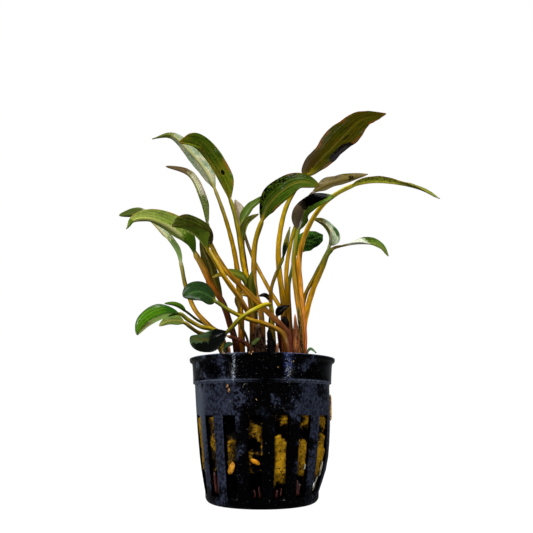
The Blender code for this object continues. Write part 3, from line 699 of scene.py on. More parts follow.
# Leaves
# Each leaf is one living piece: a round, wet stalk that opens into a thin blade, folded along its
# midrib and curved over by its own weight. Lengthwise veins quilt the blade, the margin is brown
# and slightly rippled, and old leaves carry rotted patches.

blade_thickness = 0.6
least_thickness = 0.2
least_half_width = 0.3
stem_foot = 40.6
stalk_groove = 0.14
opening_share = 0.065
rib_swell = 0.9
rib_sink, rib_half_width = 0.16, 0.45
vein_pitch, vein_sink = 0.22, 0.04
quilt_rise = 0.03
blade_dome = 0.045
margin_ripple = 0.2
curve_steps = 16
small_width = 4.6


def between(a, b, start, end, t):
    """The point at t on the line through a at start and b at end."""
    return (a * (end - t) + b * (t - start)) / (end - start)


def smooth_route(points):
    """A smooth curve through the points, with the length of the way to each of its points."""
    points = np.asarray(points, float)
    points = np.vstack([2 * points[0] - points[1], points, 2 * points[-1] - points[-2]])
    curve = []
    for four in zip(points, points[1:], points[2:], points[3:]):
        spans = [np.linalg.norm(b - a) ** 0.5 for a, b in zip(four, four[1:])]
        knots = np.concatenate([[0.0], np.cumsum(spans)])
        for t in np.linspace(knots[1], knots[2], curve_steps, endpoint=False):
            near = [between(four[i], four[i + 1], knots[i], knots[i + 1], t) for i in range(3)]
            wide = [between(near[i], near[i + 1], knots[i], knots[i + 2], t) for i in range(2)]
            curve.append(between(wide[0], wide[1], knots[1], knots[2], t))
    curve = np.array(curve + [points[-2]])
    steps = np.linalg.norm(np.diff(curve, axis=0), axis=1)
    return curve, np.concatenate([[0.0], np.cumsum(steps)])


def read_route(curve, length, distance):
    """The places at these distances and the directions of the curve there."""
    total = length[-1]

    def at(places):
        return np.stack([np.interp(places, length, curve[:, axis]) for axis in range(3)], axis=-1)

    reach = total * 0.01
    ahead = at(np.minimum(distance + reach, total)) - at(np.maximum(distance - reach, 0))
    return at(distance), ahead / np.linalg.norm(ahead, axis=1, keepdims=True)


def leaf_mesh(name, seed, foot, blade, width, thick, face, fold=15, stalk=(), tip_face=None, peak=0.4,
              full=0.75, halves=(1, 1), scallop=(0, 0, 0), taper=0.5, flare=1, point=0):
    """The skin of one leaf, with the leaf's own places marked on it for its colours.

    foot, stalk and blade are the places along its middle, in millimetres, and thick is the stalk's
    thickness at its foot and top. face is the way that the blade's upper side faces, tip_face the way
    at its tip, and fold how far each half is folded up, in degrees. peak is where along the blade it
    is widest. The smaller full is, the fuller the blade. point draws its tip in and taper its base,
    and flare widens the base again. halves holds the share of the width that each half has, and
    scallop the size, number and shift of the dents in its margin.
    """
    curve, length = smooth_route([(*foot, stem_foot), *stalk, *blade])
    base = length[curve_steps * (1 + len(stalk))]
    small = width < small_width
    columns = 32 if small else 64
    stalk_rows = 24 if small else 56
    blade_rows = 40 if small else 84
    share = np.concatenate([np.linspace(0, 1, stalk_rows), np.ones(blade_rows)])
    b = np.concatenate([np.zeros(stalk_rows), np.linspace(0, 1, blade_rows + 1)[1:]])
    distance = base * share + (length[-1] - base) * b
    centre, tangent = read_route(curve, length, distance)
    turn = (b * b * (3 - 2 * b))[:, None]
    facing = np.array(face) * (1 - turn) + np.array(tip_face or face) * turn
    up = facing - tangent * (facing * tangent).sum(axis=1, keepdims=True)
    up /= np.linalg.norm(up, axis=1, keepdims=True)
    side = np.cross(tangent, up)

    skew = math.log(0.5) / math.log(peak)
    half = width / 2 * np.maximum(np.sin(math.pi * b**skew), 0) ** full
    dents = np.cos(2 * math.pi * (scallop[1] * b + scallop[2]))
    half *= 1 + scallop[0] * np.clip((0.65 - b) / 0.35, 0, 1) * dents
    half *= np.clip((1 - b) / 0.13, 0, 1) ** point
    half *= (1 - np.maximum(1 - b / 0.4, 0) ** 2) ** taper
    half = np.maximum(half, thick[1] / 2 * flare * (1 - b / 0.25))
    half = np.maximum(half, least_half_width)
    tube = (thick[0] + (thick[1] - thick[0]) * share) / 2 * (1 + 0.04 * np.sin(distance * 0.9 + seed))
    opening = np.clip(b / opening_share, 0, 1)
    opening = (opening * opening * (3 - 2 * opening))[:, None, None]

    column = np.arange(columns + 1) % columns
    across = np.where(column <= columns / 2, 1 - 4 * column / columns, -3 + 4 * column / columns)
    layer = np.sign(columns / 2 - column) * (column > 0)
    bend = math.radians(fold)
    crease = np.sqrt(across**2 + 0.05**2)
    edge = np.abs(across)
    angle = 2 * math.pi * column / columns
    groove = 1 - stalk_groove * np.exp(-((np.degrees(angle) - 90) / 24) ** 2)

    def spread(rows, cols):
        return rows[:, None, :] * cols[None, :, None]

    ring = spread(side, np.cos(angle)) + spread(up, np.sin(angle))
    ring = ring * (tube[:, None] * groove[None, :])[:, :, None]

    along = distance[:, None]
    wander = 1 - 0.012 * (1 + np.sin(along * 0.6 + across[None, :] * 2 + seed * 3))
    reach = half[:, None] * np.where(across > 0, halves[0], halves[1])[None, :] * wander
    flat = side[:, None, :] * (across[None, :] * reach * math.cos(bend))[:, :, None]
    flat += up[:, None, :] * ((crease - 0.05)[None, :] * reach * math.sin(bend))[:, :, None]
    normal = up[:, None, :] * math.cos(bend) - spread(side, across / crease) * math.sin(bend)
    across_mm = across[None, :] * half[:, None]
    rib = 1 + rib_swell * np.exp(-((across_mm / 0.7) ** 2)) * (1 - b[:, None]) * (layer[None, :] < 0)
    sheet = np.clip(np.minimum(blade_thickness, half), least_thickness, None)[:, None]
    sheet = sheet / 2 * np.sqrt(np.maximum(1 - across**2, 0))[None, :] * rib

    broad = np.clip((half - 1) / 2.5, 0, 1)[:, None]
    vein = np.cos(2 * math.pi * (edge / vein_pitch + 0.25))[None, :] * (edge < 0.9)[None, :]
    quilt = 0.5 + 0.5 * np.sin(along * 2.1 - edge[None, :] * 9 + seed)
    swell = (edge * (1 - edge) * 4)[None, :]
    lift = -vein_sink * vein * broad - rib_sink * np.exp(-((across_mm / rib_half_width) ** 2)) * broad
    lift += quilt_rise * quilt * swell * broad + blade_dome * half[:, None] * swell
    wave = np.sin(along * 0.42 + np.sign(across)[None, :] * 1.3 + seed * 2)
    wave += 0.35 * np.sin(along * 1.1 + np.sign(across)[None, :] * 2 + seed)
    wave *= np.minimum((1 - b) / 0.2, 1)[:, None]
    lift += margin_ripple * wave * (edge**3)[None, :] * broad
    flat = flat + normal * (layer[None, :] * sheet + lift)[:, :, None]

    points = centre[:, None, :] + ring * (1 - opening) + flat * opening
    points[0] = points[0, :-1].mean(axis=0)
    points[-1] = points[-1, :-1].mean(axis=0)
    rows = np.ones(len(b))[:, None]
    upside = np.where(b[:, None] > 0, np.where(layer == 0, 1, layer)[None, :], 1)
    leaf = np.stack([rows * across, b[:, None] * np.ones(columns + 1), upside * rows], axis=-1)
    grow = np.stack([share, half, distance], axis=-1)[:, None, :] * np.ones((1, columns + 1, 1))
    return wrap_grid(name, columns, len(b) - 1, points, leaf=leaf, grow=grow)


def gather(x, y, z):
    """A place made of three numbers."""
    return Field(add_node(x.tree, "CombineXYZ", {0: x, 1: y, 2: z}).outputs[0])


def shaded(colour, shade):
    """The colour darkened or lightened by the shade."""
    level = add_node(shade.tree, "CombineColor", {0: shade, 1: shade, 2: shade}).outputs[0]
    feeds = {0: 1.0, 6: colour, 7: level}
    made = add_node(shade.tree, "Mix", feeds, data_type="RGBA", blend_type="MULTIPLY")
    return Field(made.outputs[2])


def start_group(name, inputs, outputs):
    """A node group with named inputs, each given its first value, and named outputs with their kinds."""
    tree = bpy.data.node_groups.new(name, "ShaderNodeTree")
    for label, value in inputs.items():
        kind = "NodeSocketFloat" if isinstance(value, float) else "NodeSocketColor"
        tree.interface.new_socket(name=label, in_out="INPUT", socket_type=kind).default_value = value
    for label, kind in outputs.items():
        tree.interface.new_socket(name=label, in_out="OUTPUT", socket_type="NodeSocket" + kind)
    given = {socket.name: Field(socket) for socket in tree.nodes.new("NodeGroupInput").outputs}
    return tree, given, tree.nodes.new("NodeGroupOutput").inputs


def place_group(tree, group, **values):
    """Places a group in a material. An underscore in a value's name stands for a space."""
    feeds = {key.replace("_", " "): value for key, value in values.items()}
    return {out.name: Field(out) for out in add_node(tree, "Group", feeds, node_tree=group).outputs}


grey = (0.5, 0.5, 0.5, 1.0)
surface = {"Color": "Color", "Roughness": "Float", "Height": "Float"}
skin_colours = ["Upper", "Upper patches", "Under", "Under patches", "Margin", "Vein", "Rib"]
skin_colours += ["Stalk foot", "Stalk middle", "Stalk top"]
skin_inputs = dict.fromkeys(skin_colours, grey) | {"Margin width": 0.1, "Vein strength": 0.5, "Seed": 0.0}
leaf_skin, given, gives = start_group("leaf skin", skin_inputs, surface)
across, share, upside = read_marks(leaf_skin, "leaf")
stalk_share, half_mm, way = read_marks(leaf_skin, "grow")
edge = abs(across)
across_mm = across * half_mm
shift = given["Seed"] * 17.3
own = gather(across_mm, way, shift)
patches = grain(own, 0.17, 4, 0.6)
streaks = grain(gather(across_mm + shift, way * 0.1, upside), 1.1, 3, 0.55)
mottle = grain(own, 0.9, 4, 0.55)
net_cells = cells(own, 1.5, "DISTANCE_TO_EDGE")

# The blade has patches of a second green on each side, and is streaked and mottled.
patch = step(patches + streaks * 0.35, 0.58, 0.78)
upper = mix(patch, given["Upper"], given["Upper patches"])
under = mix(patch, given["Under"], given["Under patches"])
shade = step(streaks, 0.36, 0.64) * 0.5 + 0.3 + step(mottle, 0.36, 0.64) * 0.3
shade = shade + (grain(own, 2.6, 2, 0.6) - 0.5) * 0.9 + step(patches, 0.36, 0.64) * 0.6
tone = shaded(mix(step(upside, -0.2, 0.2), under, upper), shade)

# Over it lie the lengthwise veins with a net between them, the midrib and the brown margin.
pitch_share = reckon("FRACT", edge / vein_pitch + 0.75)
vein_mm = abs(pitch_share - 0.5) * vein_pitch * half_mm
vein_line = step(vein_mm, 0.3, 0.06) * step(edge, 0.92, 0.8)
net = larger(vein_line, step(net_cells, 0.07, 0.0) * 0.22)
tone = mix(net * (given["Vein strength"] * step(streaks, 0.2, 0.6)), tone, given["Vein"])
rib_line = step(abs(across_mm), 0.75, 0.3) * step(share, 0.97, 0.8)
tone = mix(rib_line * 0.85, tone, given["Rib"])
ragged = edge + (patches - 0.5) * 0.9
rim = step(ragged - (1.0 - given["Margin width"]), -0.03, 0.05)
rim = larger(rim, step(share + mottle * 0.06, 0.955, 1.01))
tone = mix(rim * 0.6, tone, given["Margin"])

# The stalk is fibrous and redder low down. Its flanks carry painted shade and its middle a painted
# highlight, and low down among the others it is painted darker as shade, except at the crown's right.
stem = mix(step(stalk_share, 0.08, 0.42), given["Stalk foot"], given["Stalk middle"])
stem = mix(step(stalk_share, 0.45, 1.0), stem, given["Stalk top"])
fibre = grain(gather(across * 1.4, way * 0.07, shift + upside), 4.0, 4, 0.65)
# Painted shade and highlight: the stalk's flanks are darkened and its middle lightened.
flank_shade = 1.12 - step(edge, 0.35, 1.0) * 0.62
over, _, high = split(object_place(leaf_skin))
low_down = high + fibre * 14
# Painted shade: low down among the other stalks, each stalk is darkened to about a quarter, except at the
# crown's right side.
lit_share = larger(step(low_down, 54, 76), step(over, 8, 12.5))
stem_shade = reckon("MULTIPLY_ADD", fibre, 3.0, -0.58) * flank_shade * (lit_share * 0.74 + 0.26)
stem = shaded(mix(step(low_down, 74, 56) * 0.3, stem, paint(150, 70, 50)), stem_shade)
blade_share = step(share + edge * 0.035 + (fibre - 0.5) * 0.08, 0.0, 0.17) * step(share, 0.0, 0.03)
blade_share = larger(blade_share, step(stalk_share + fibre * 0.06, 0.8, 1.04) * 0.45)
mix(blade_share, stem, tone).feeds(gives["Color"])
(step(patches, 0.3, 0.7) * 0.22 + rim * 0.1 + 0.24).feeds(gives["Roughness"])
height = (step(net_cells, 0.0, 0.3) * 0.55 - vein_line * 0.5 + mottle * 0.6) * blade_share
(height + fibre * 0.4).feeds(gives["Height"])

# A stain lies at one place of a blade, ragged, and solid or broken up into specks. The same group also lays
# a painted highlight.
stain_inputs = {"Color": grey, "Stain": grey, "Across": 0.0, "Share": 0.5, "Reach across": 0.3}
stain_inputs |= {"Reach share": 0.1, "Ragged": 0.5, "Speckle": 0.0, "Seed": 0.0}
stain, given, gives = start_group("stain", stain_inputs, {"Color": "Color"})
across, share, _ = read_marks(stain, "leaf")
_, half_mm, way = read_marks(stain, "grow")
sideways = (across - given["Across"]) / given["Reach across"]
lengthways = (share - given["Share"]) / given["Reach share"]
far = reckon("SQRT", reckon("POWER", abs(sideways), 2.0) + reckon("POWER", abs(lengthways), 2.0))
own = gather(across * half_mm, way, given["Seed"] * 3.1)
uneven = (grain(own, 0.9, 4, 0.65) - 0.5) * given["Ragged"]
spot = step(far + uneven * 3.0, 1.15, 0.8)
dots = step(grain(own, 1.5, 2, 0.5), 0.48, 0.52)
dotted = 1.0 - given["Speckle"] * (1.0 - dots)
mix(spot * dotted * step(share, 0.0, 0.08), given["Color"], given["Stain"]).feeds(gives["Color"])

leaf_seed = 0


def grow_leaf(name, upper, margin, rib, stem, under=None, vein=None, margin_width=0.1, vein_strength=0.45,
              wet=0.08, stains_and_glints=(), **form):
    """Makes a leaf of the form and gives it its colours.

    upper and under hold a colour and that of its patches, and stem the stalk's colours from its foot
    up. Each entry, a stain or a painted highlight laid as one, has its colour, its place across and
    along the blade, its reach both ways, how ragged its edge is and how far it breaks up into specks.
    """
    global leaf_seed
    leaf_seed += 1
    leaf = leaf_mesh(name, seed=leaf_seed, **form)
    skin, tree, shader = start_material(name, Specular_IOR_Level=0.0, Coat_Weight=wet, Coat_Roughness=0.14)
    hues = [*upper, *(under or upper), margin, vein or rib, rib, *stem]
    hues = {label.replace(" ", "_"): paint(*hue) for label, hue in zip(skin_colours, hues)}
    own_seed = float(leaf_seed)
    seen = place_group(tree, leaf_skin, Margin_width=margin_width, Vein_strength=vein_strength,
                       Seed=own_seed, **hues)
    colour = seen["Color"]
    for hue, across, share, reach_across, reach_share, ragged, speckle in stains_and_glints:
        colour = place_group(tree, stain, Color=colour, Stain=paint(*hue), Across=across, Share=share,
                             Reach_across=reach_across, Reach_share=reach_share, Ragged=ragged,
                             Speckle=speckle, Seed=own_seed)["Color"]
    colour.feeds(shader.inputs["Base Color"])
    seen["Roughness"].feeds(shader.inputs["Roughness"])
    raise_surface(shader, seen["Height"], 0.00003)
    leaf.data.materials.append(skin)
    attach(leaf, "root")
    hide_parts(name)


grow_leaf("leaf_low_front", foot=(4, -2.5),
          stalk=[(3.5, -4.5, 57), (3, -8, 62.5), (1.5, -13, 62.5), (-2.5, -17, 60), (-7, -17.5, 57)],
          blade=[(-11, -15, 53.3), (-15.5, -13, 51.3), (-20, -11, 51), (-24, -9, 52.3)], width=9,
          thick=(1.6, 1.4), fold=8, face=(-0.2, -1, 0.5), peak=0.33, full=0.6, halves=(0.75, 1.3),
          taper=0.8, wet=0.2, upper=((60, 84, 54), (40, 58, 32)), under=((62, 104, 72), (40, 72, 50)),
          margin=(25, 23, 9), rib=(68, 65, 21), stem=((120, 100, 30), (184, 160, 26), (166, 164, 14)),
          stains_and_glints=[((5, 7, 5), 0, 0.16, 1.5, 0.34, 0.35, 0), ((4, 6, 4), -0.75, 0.5, 0.5, 0.3, 0.5, 0)])
grow_leaf("leaf_round_dark", foot=(9, -8),
          stalk=[(7, -9.5, 53), (1.5, -11.5, 56), (-4.5, -13, 57.5), (-10.5, -15, 60)],
          blade=[(-15, -17, 62.6), (-20, -20.5, 64.8), (-25, -22.5, 63.2)], width=10.5, thick=(2, 1.2),
          fold=8, face=(0.1, -1, 0.7), peak=0.45, full=0.55, taper=0.3, wet=0.25,
          upper=((36, 64, 25), (24, 43, 18)), margin=(25, 33, 15), rib=(58, 88, 42),
          stem=((112, 50, 38), (192, 142, 24), (142, 142, 4)), vein_strength=0.15)
grow_leaf("leaf_narrow_left", foot=(10.5, -5.5),
          stalk=[(9, -6, 53), (1.5, -9, 61), (-5, -11.5, 67), (-12, -13, 74), (-18, -7.5, 85)],
          blade=[(-20.5, 2, 95.5), (-24, 6, 107.8), (-29.7, 10, 119.6), (-40, 14, 125.5)], width=6,
          thick=(2.2, 1.4), fold=40, face=(0.8, 0.4, 0.4), tip_face=(0.2, 0.5, 1), peak=0.33, full=0.55,
          upper=((111, 103, 39), (85, 78, 29)), under=((226, 214, 196), (184, 188, 142)),
          margin=(106, 83, 36), vein=(85, 76, 44), rib=(102, 100, 44),
          stem=((186, 96, 76), (165, 115, 28), (56, 70, 3)), vein_strength=0.9, margin_width=0.24, wet=0.04,
          stains_and_glints=[((64, 76, 16), 0, 0.12, 1.6, 0.3, 0.4, 0.2),
                  ((30, 24, 12), 0.2, 0.03, 0.9, 0.05, 0.5, 0.4),
                  ((92, 72, 44), 0, 0.92, 1.6, 0.26, 0.4, 0.2)])
grow_leaf("leaf_dark_left", foot=(-2, -5),
          stalk=[(-3.5, -7.5, 58), (-6, -10, 62.5), (-8.5, -13, 66), (-12.5, -17, 71), (-15.5, -19, 76)],
          blade=[(-17.5, -20, 79), (-21, -23, 83), (-24, -27.5, 84), (-28, -31.5, 83.5)], width=14,
          thick=(2.2, 1.5), fold=40, face=(0.3, -0.6, 0.7), peak=0.32, full=0.6, point=0.3,
          upper=((56, 66, 12), (32, 30, 7)), under=((113, 140, 34), (93, 112, 28)), margin=(66, 51, 12),
          vein=(108, 112, 34), rib=(178, 180, 106), stem=((31, 8, 8), (154, 107, 39), (197, 152, 6)),
          vein_strength=0.2, stains_and_glints=[((24, 24, 10), 0.5, 0.15, 0.5, 0.12, 0.5, 0.5)])
grow_leaf("leaf_small_curled", foot=(-4.5, -1), stalk=[(-2.5, -1, 60), (-4, -2.5, 66)],
          blade=[(-5, -3.5, 69), (-7, -5.5, 73.5), (-11.5, -6.5, 75), (-17.5, -7.5, 73)], width=3.9,
          thick=(1.2, 0.9), face=(0.5, -0.85, 0.5), upper=((60, 80, 16), (42, 58, 8)), margin=(47, 39, 4),
          rib=(104, 106, 28), stem=((40, 22, 14), (130, 104, 30), (160, 134, 44)),
          stains_and_glints=[((128, 112, 36), 0, 0.97, 1.6, 0.18, 0.4, 0)])
grow_leaf("leaf_long_left", foot=(-8.5, -5),
          stalk=[(-9, -5, 50.5), (-11, -6.5, 57), (-13.5, -9, 64), (-17.5, -11.5, 70), (-20, -13, 75)],
          blade=[(-22, -15, 78.5), (-25, -17, 83), (-31, -18.5, 87.5), (-37, -21, 89.5), (-41.5, -23, 88.5),
                 (-43.5, -25.5, 84.5)], width=10.5, thick=(2.3, 2), fold=40, face=(0.35, 0.7, 0.6),
          tip_face=(0, 0.6, 0.8), peak=0.36, full=1, taper=0.9, upper=((105, 131, 43), (78, 107, 26)),
          under=((134, 156, 62), (102, 124, 38)), margin=(140, 88, 28), vein=(186, 182, 103),
          rib=(175, 179, 93), stem=((12, 9, 3), (70, 36, 14), (188, 112, 26)), vein_strength=0.35,
          stains_and_glints=[((58, 84, 12), 0, 0.08, 1.6, 0.2, 0.5, 0), ((78, 98, 24), 0, 0.98, 1.6, 0.12, 0.4, 0),
                  ((172, 172, 112), 0.1, 0.42, 0.3, 0.16, 0.7, 0.6)])
grow_leaf("leaf_far_left", foot=(-11.5, 0),
          stalk=[(-14.5, 0, 54), (-18.2, -1, 57), (-23.5, -2.5, 62.5), (-27, -4.5, 71)],
          blade=[(-28.4, -6, 77.5), (-30.4, -4.5, 83.5), (-37.5, 2, 93.2), (-46, 6, 101.2),
                 (-57.5, 14, 104)], width=8.5, thick=(2, 1.4), face=(0.3, 0.5, 1), peak=0.32, full=0.55,
          upper=((142, 156, 78), (105, 128, 58)), under=((232, 236, 206), (183, 197, 140)),
          margin=(164, 119, 59), vein=(133, 149, 88), rib=(203, 184, 102),
          stem=((140, 70, 34), (255, 190, 66), (72, 74, 2)),
          stains_and_glints=[((104, 126, 66), 0, 0.06, 1.6, 0.24, 0.5, 0),
                  ((104, 120, 52), 0, 0.98, 1.8, 0.36, 0.4, 0)])
grow_leaf("leaf_dark_inner", foot=(-7.5, -1), stalk=[(-9.5, -1, 52.5), (-13, -1, 62.5)],
          blade=[(-14, -0.5, 65.5), (-16.5, 0.5, 72.5), (-19.5, 3.5, 81.5), (-24, 7.5, 91.5)], width=8,
          thick=(1.8, 1.4), fold=20, face=(-0.8, -0.6, 0.3), upper=((45, 43, 4), (32, 33, 3)),
          under=((90, 80, 30), (70, 60, 24)), margin=(52, 42, 6), rib=(88, 75, 17),
          stem=((60, 30, 20), (120, 76, 30), (90, 76, 28)))
grow_leaf("leaf_low_left", foot=(-12, -2.5), stalk=[(-15.5, -4, 54.5), (-21, -7.5, 56), (-25, -10, 58)],
          blade=[(-27.3, -12, 59.5), (-32, -14, 58.1), (-36.9, -15, 55.2), (-40.4, -15.5, 51.9)],
          width=11.3, thick=(1.8, 1.3), fold=42, face=(-0.35, -0.7, 0.6), peak=0.5, full=0.6, wet=0.3,
          upper=((64, 111, 4), (44, 83, 4)), under=((254, 255, 156), (205, 254, 123)), margin=(38, 58, 5),
          vein=(116, 151, 38), rib=(160, 179, 63), stem=((76, 54, 40), (255, 224, 44), (172, 158, 2)),
          vein_strength=0.35,
          stains_and_glints=[((40, 84, 14), 0.3, 0.08, 1.4, 0.2, 0.5, 0),
                  ((84, 70, 24), -0.9, 0.8, 0.2, 0.12, 0.6, 0.5)])
grow_leaf("leaf_low_left_back", foot=(-11.5, 3), stalk=[(-17, 2.5, 53), (-22.5, -1, 55), (-25, -4.5, 56.5)],
          blade=[(-26.5, -5.5, 57.5), (-31, -7, 57.8), (-35, -7.5, 56.2)], width=7.5, thick=(1.8, 1.3),
          face=(-0.1, -0.8, 0.8), upper=((92, 124, 46), (76, 104, 38)),
          under=((190, 172, 134), (140, 150, 90)), margin=(140, 112, 72), rib=(150, 140, 66),
          stem=((150, 100, 40), (170, 140, 40), (200, 170, 60)))
grow_leaf("leaf_low_left_top", foot=(-9.5, 5.5), stalk=[(-17, 4, 56), (-23.5, 2, 60)],
          blade=[(-27, 0, 62.5), (-30.5, -1, 64.5), (-34.5, -2.5, 65)], width=4.5, thick=(1.2, 0.9),
          fold=20, face=(0, -0.5, 1), upper=((78, 123, 10), (60, 97, 8)), margin=(21, 29, 3),
          rib=(58, 75, 12), stem=((60, 50, 24), (80, 84, 36), (72, 91, 13)))
grow_leaf("leaf_tiny_hooked", foot=(-5, -4), stalk=[(-5, -5, 51.5), (-7.5, -5.5, 57.5)],
          blade=[(-8, -5.5, 62), (-8.5, -6, 65.5), (-7, -6, 67.5), (-5, -6, 66.5)], width=3, thick=(1, 0.8),
          face=(0.5, -0.8, 0.2), upper=((44, 39, 5), (83, 67, 14)), rib=(137, 109, 40), margin=(39, 29, 5),
          stem=((24, 22, 12), (37, 56, 13), (74, 96, 12)))
grow_leaf("leaf_small_upright", foot=(-1.8, -1.8), stalk=[(-2, -5, 59.5)],
          blade=[(-2.5, -6.5, 64.5), (-4, -8.5, 70.5), (-3.5, -9.5, 75)], width=3.4, thick=(1.4, 1),
          fold=10, face=(-0.2, -1, 0.1), upper=((61, 72, 11), (46, 52, 9)), margin=(60, 49, 10),
          rib=(95, 94, 25), stem=((36, 20, 12), (76, 49, 32), (82, 78, 13)))
grow_leaf("leaf_top_left", foot=(-3, 3.5), stalk=[(-4, 3, 67.5), (-7, 3.5, 80), (-9.5, 3, 95.5)],
          blade=[(-12, 2, 105), (-16, 2, 113), (-21, 0, 121), (-25.5, -6, 124), (-30, -14, 121.5)],
          width=13, thick=(2.2, 1.6), fold=45, face=(1, -1, 0.3), peak=0.45, full=0.5,
          scallop=(0.13, 1.75, -0.3), taper=0.8, point=0.3, upper=((72, 97, 15), (84, 84, 13)),
          under=((120, 135, 29), (127, 115, 25)), margin=(122, 78, 19), vein=(109, 120, 33),
          rib=(146, 138, 51), stem=((58, 30, 18), (172, 130, 7), (124, 113, 14)), margin_width=0.08,
          stains_and_glints=[((16, 18, 8), 0.45, 0.33, 0.13, 0.03, 0.4, 0)])
grow_leaf("leaf_top_left_back", foot=(-7, 4.5), stalk=[(-8, 6, 62.5), (-10, 10, 82.5), (-13.5, 13.5, 98)],
          blade=[(-19, 16, 114.5), (-24, 20, 126.3), (-31.5, 24, 137), (-41, 28, 147.2), (-51, 34, 148.7)],
          width=8, thick=(2.6, 1.4), fold=20, face=(0.3, 1, 0.4), peak=0.3, full=1, taper=0.9,
          upper=((86, 106, 40), (78, 88, 35)), under=((137, 156, 124), (144, 142, 116)),
          margin=(124, 95, 61), vein=(113, 107, 64), rib=(143, 143, 90),
          stem=((181, 112, 20), (142, 101, 9), (137, 114, 6)), vein_strength=0.5, wet=0.02,
          stains_and_glints=[((84, 92, 34), 0, 0.95, 1.6, 0.2, 0.4, 0)])
grow_leaf("leaf_narrow_centre", foot=(-4, 7), stalk=[(-4.5, 7.5, 68.5), (-6.5, 10, 83.5)],
          blade=[(-7.5, 10.5, 92), (-6, 10, 99), (-1.5, 8, 102.5)], width=6, thick=(1.4, 1), fold=30,
          face=(-0.8, -0.6, 0.4), upper=((46, 50, 4), (34, 42, 4)), under=((185, 217, 47), (165, 158, 38)),
          margin=(59, 44, 5), rib=(104, 106, 40), stem=((40, 20, 12), (118, 66, 34), (94, 57, 1)))
grow_leaf("leaf_behind_centre", foot=(-1, 7.5), stalk=[(-5, 10.5, 69), (-7, 15.5, 86), (-8.5, 17, 94.5)],
          blade=[(-8.5, 17.5, 101), (-5.5, 19, 108), (-2, 20, 112), (3, 24, 118.5)], width=9,
          thick=(1.6, 1.2), face=(-0.5, -0.6, 0.6), upper=((64, 82, 21), (49, 68, 15)),
          under=((80, 120, 60), (64, 104, 48)), margin=(107, 72, 18), rib=(92, 110, 36),
          stem=((60, 36, 16), (150, 86, 5), (150, 150, 40)), vein_strength=0.3,
          stains_and_glints=[((8, 12, 6), 0.4, 0.75, 0.5, 0.2, 0.7, 0.6)])
grow_leaf("leaf_pale_centre", foot=(9.5, 4.5), stalk=[(7.5, 7, 62.5), (2.5, 11, 73), (-4, 17.5, 87.5)],
          blade=[(-8, 23.5, 100.5), (-10, 26, 108.5), (-12.2, 29.5, 117.3)], width=7, thick=(1.8, 1.2),
          face=(0.3, 1, 0.5), upper=((108, 103, 53), (89, 89, 44)),
          under=((160, 151, 130), (139, 131, 111)), margin=(104, 100, 52), rib=(130, 108, 79),
          stem=((120, 66, 36), (177, 130, 5), (39, 30, 3)), vein_strength=0.2)
grow_leaf("leaf_arched_right", foot=(0.5, -2.5),
          stalk=[(-0.5, -3, 61.5), (-2.5, -3.5, 69), (-3, -6, 78), (-2.5, -8.5, 85.5)],
          blade=[(-0.5, -11, 91.5), (2.1, -14, 96.8), (7, -18, 100.7), (12.8, -20, 103.1),
                 (19.5, -20, 101.9)], width=12.7, thick=(2.2, 1.8), fold=12, face=(-0.5, -1, 0.4),
          tip_face=(-0.1, -1, 0.5), full=0.6, scallop=(0.08, 2.5, 0.2), taper=0.9,
          upper=((39, 64, 4), (32, 47, 4)), under=((90, 120, 40), (80, 100, 36)), margin=(91, 58, 10),
          vein=(104, 112, 40), rib=(90, 88, 22), stem=((51, 16, 6), (178, 127, 48), (160, 129, 9)),
          vein_strength=0.4, wet=0.05,
          stains_and_glints=[((2, 3, 1), -0.72, 0.4, 0.36, 0.42, 0.5, 0.85),
                  ((2, 3, 2), -0.8, 0.1, 0.5, 0.14, 0.4, 0.8)])
grow_leaf("leaf_top_right", foot=(7, 2.5), stalk=[(7.5, 1, 65), (6, 0, 78), (6, 1, 88.5), (9, 3, 103.5)],
          blade=[(15.5, 6, 116), (23.5, 9, 126), (32, 12, 136.5), (41.5, 16, 147.5), (53.5, 20, 153.4)],
          width=15.5, thick=(2.4, 1.6), face=(-0.2, -1, 0.4), full=0.5, halves=(1.05, 0.9),
          scallop=(0.17, 2, -0.12), taper=0.45, point=0.4, upper=((41, 44, 2), (36, 31, 1)),
          under=((120, 110, 50), (100, 90, 40)), margin=(92, 46, 6), vein=(71, 67, 11), rib=(68, 58, 8),
          stem=((60, 13, 37), (161, 120, 13), (117, 105, 2)), vein_strength=0.35, margin_width=0.12,
          wet=0.03,
          stains_and_glints=[((44, 32, 6), -0.75, 0.07, 0.8, 0.22, 0.6, 0.1),
                  ((8, 5, 4), 0.85, 0.34, 0.45, 0.12, 0.4, 0),
                  ((10, 12, 3), 0.25, 0.5, 0.1, 0.035, 0.6, 0.5)])
grow_leaf("leaf_tan_right", foot=(9.5, 1.3), stalk=[(9.5, 5, 64.5), (9, 8, 80), (13, 11, 99)],
          blade=[(19, 11, 111.5), (24.3, 12, 116), (30.7, 14, 119), (44, 19, 124.3)], width=5.4,
          thick=(2, 1.4), face=(0.1, 0.75, 0.8), scallop=(0.16, 2.6, 0.3),
          upper=((134, 128, 59), (114, 109, 42)), under=((176, 158, 106), (140, 122, 66)),
          margin=(92, 84, 26), vein=(114, 97, 47), rib=(126, 108, 47),
          stem=((82, 33, 35), (157, 114, 9), (77, 93, 14)),
          stains_and_glints=[((206, 180, 168), 0.1, 0.02, 1.0, 0.05, 0.4, 0.3),
                  ((10, 10, 6), 0, 0.7, 0.6, 0.05, 0.5, 0.6)])
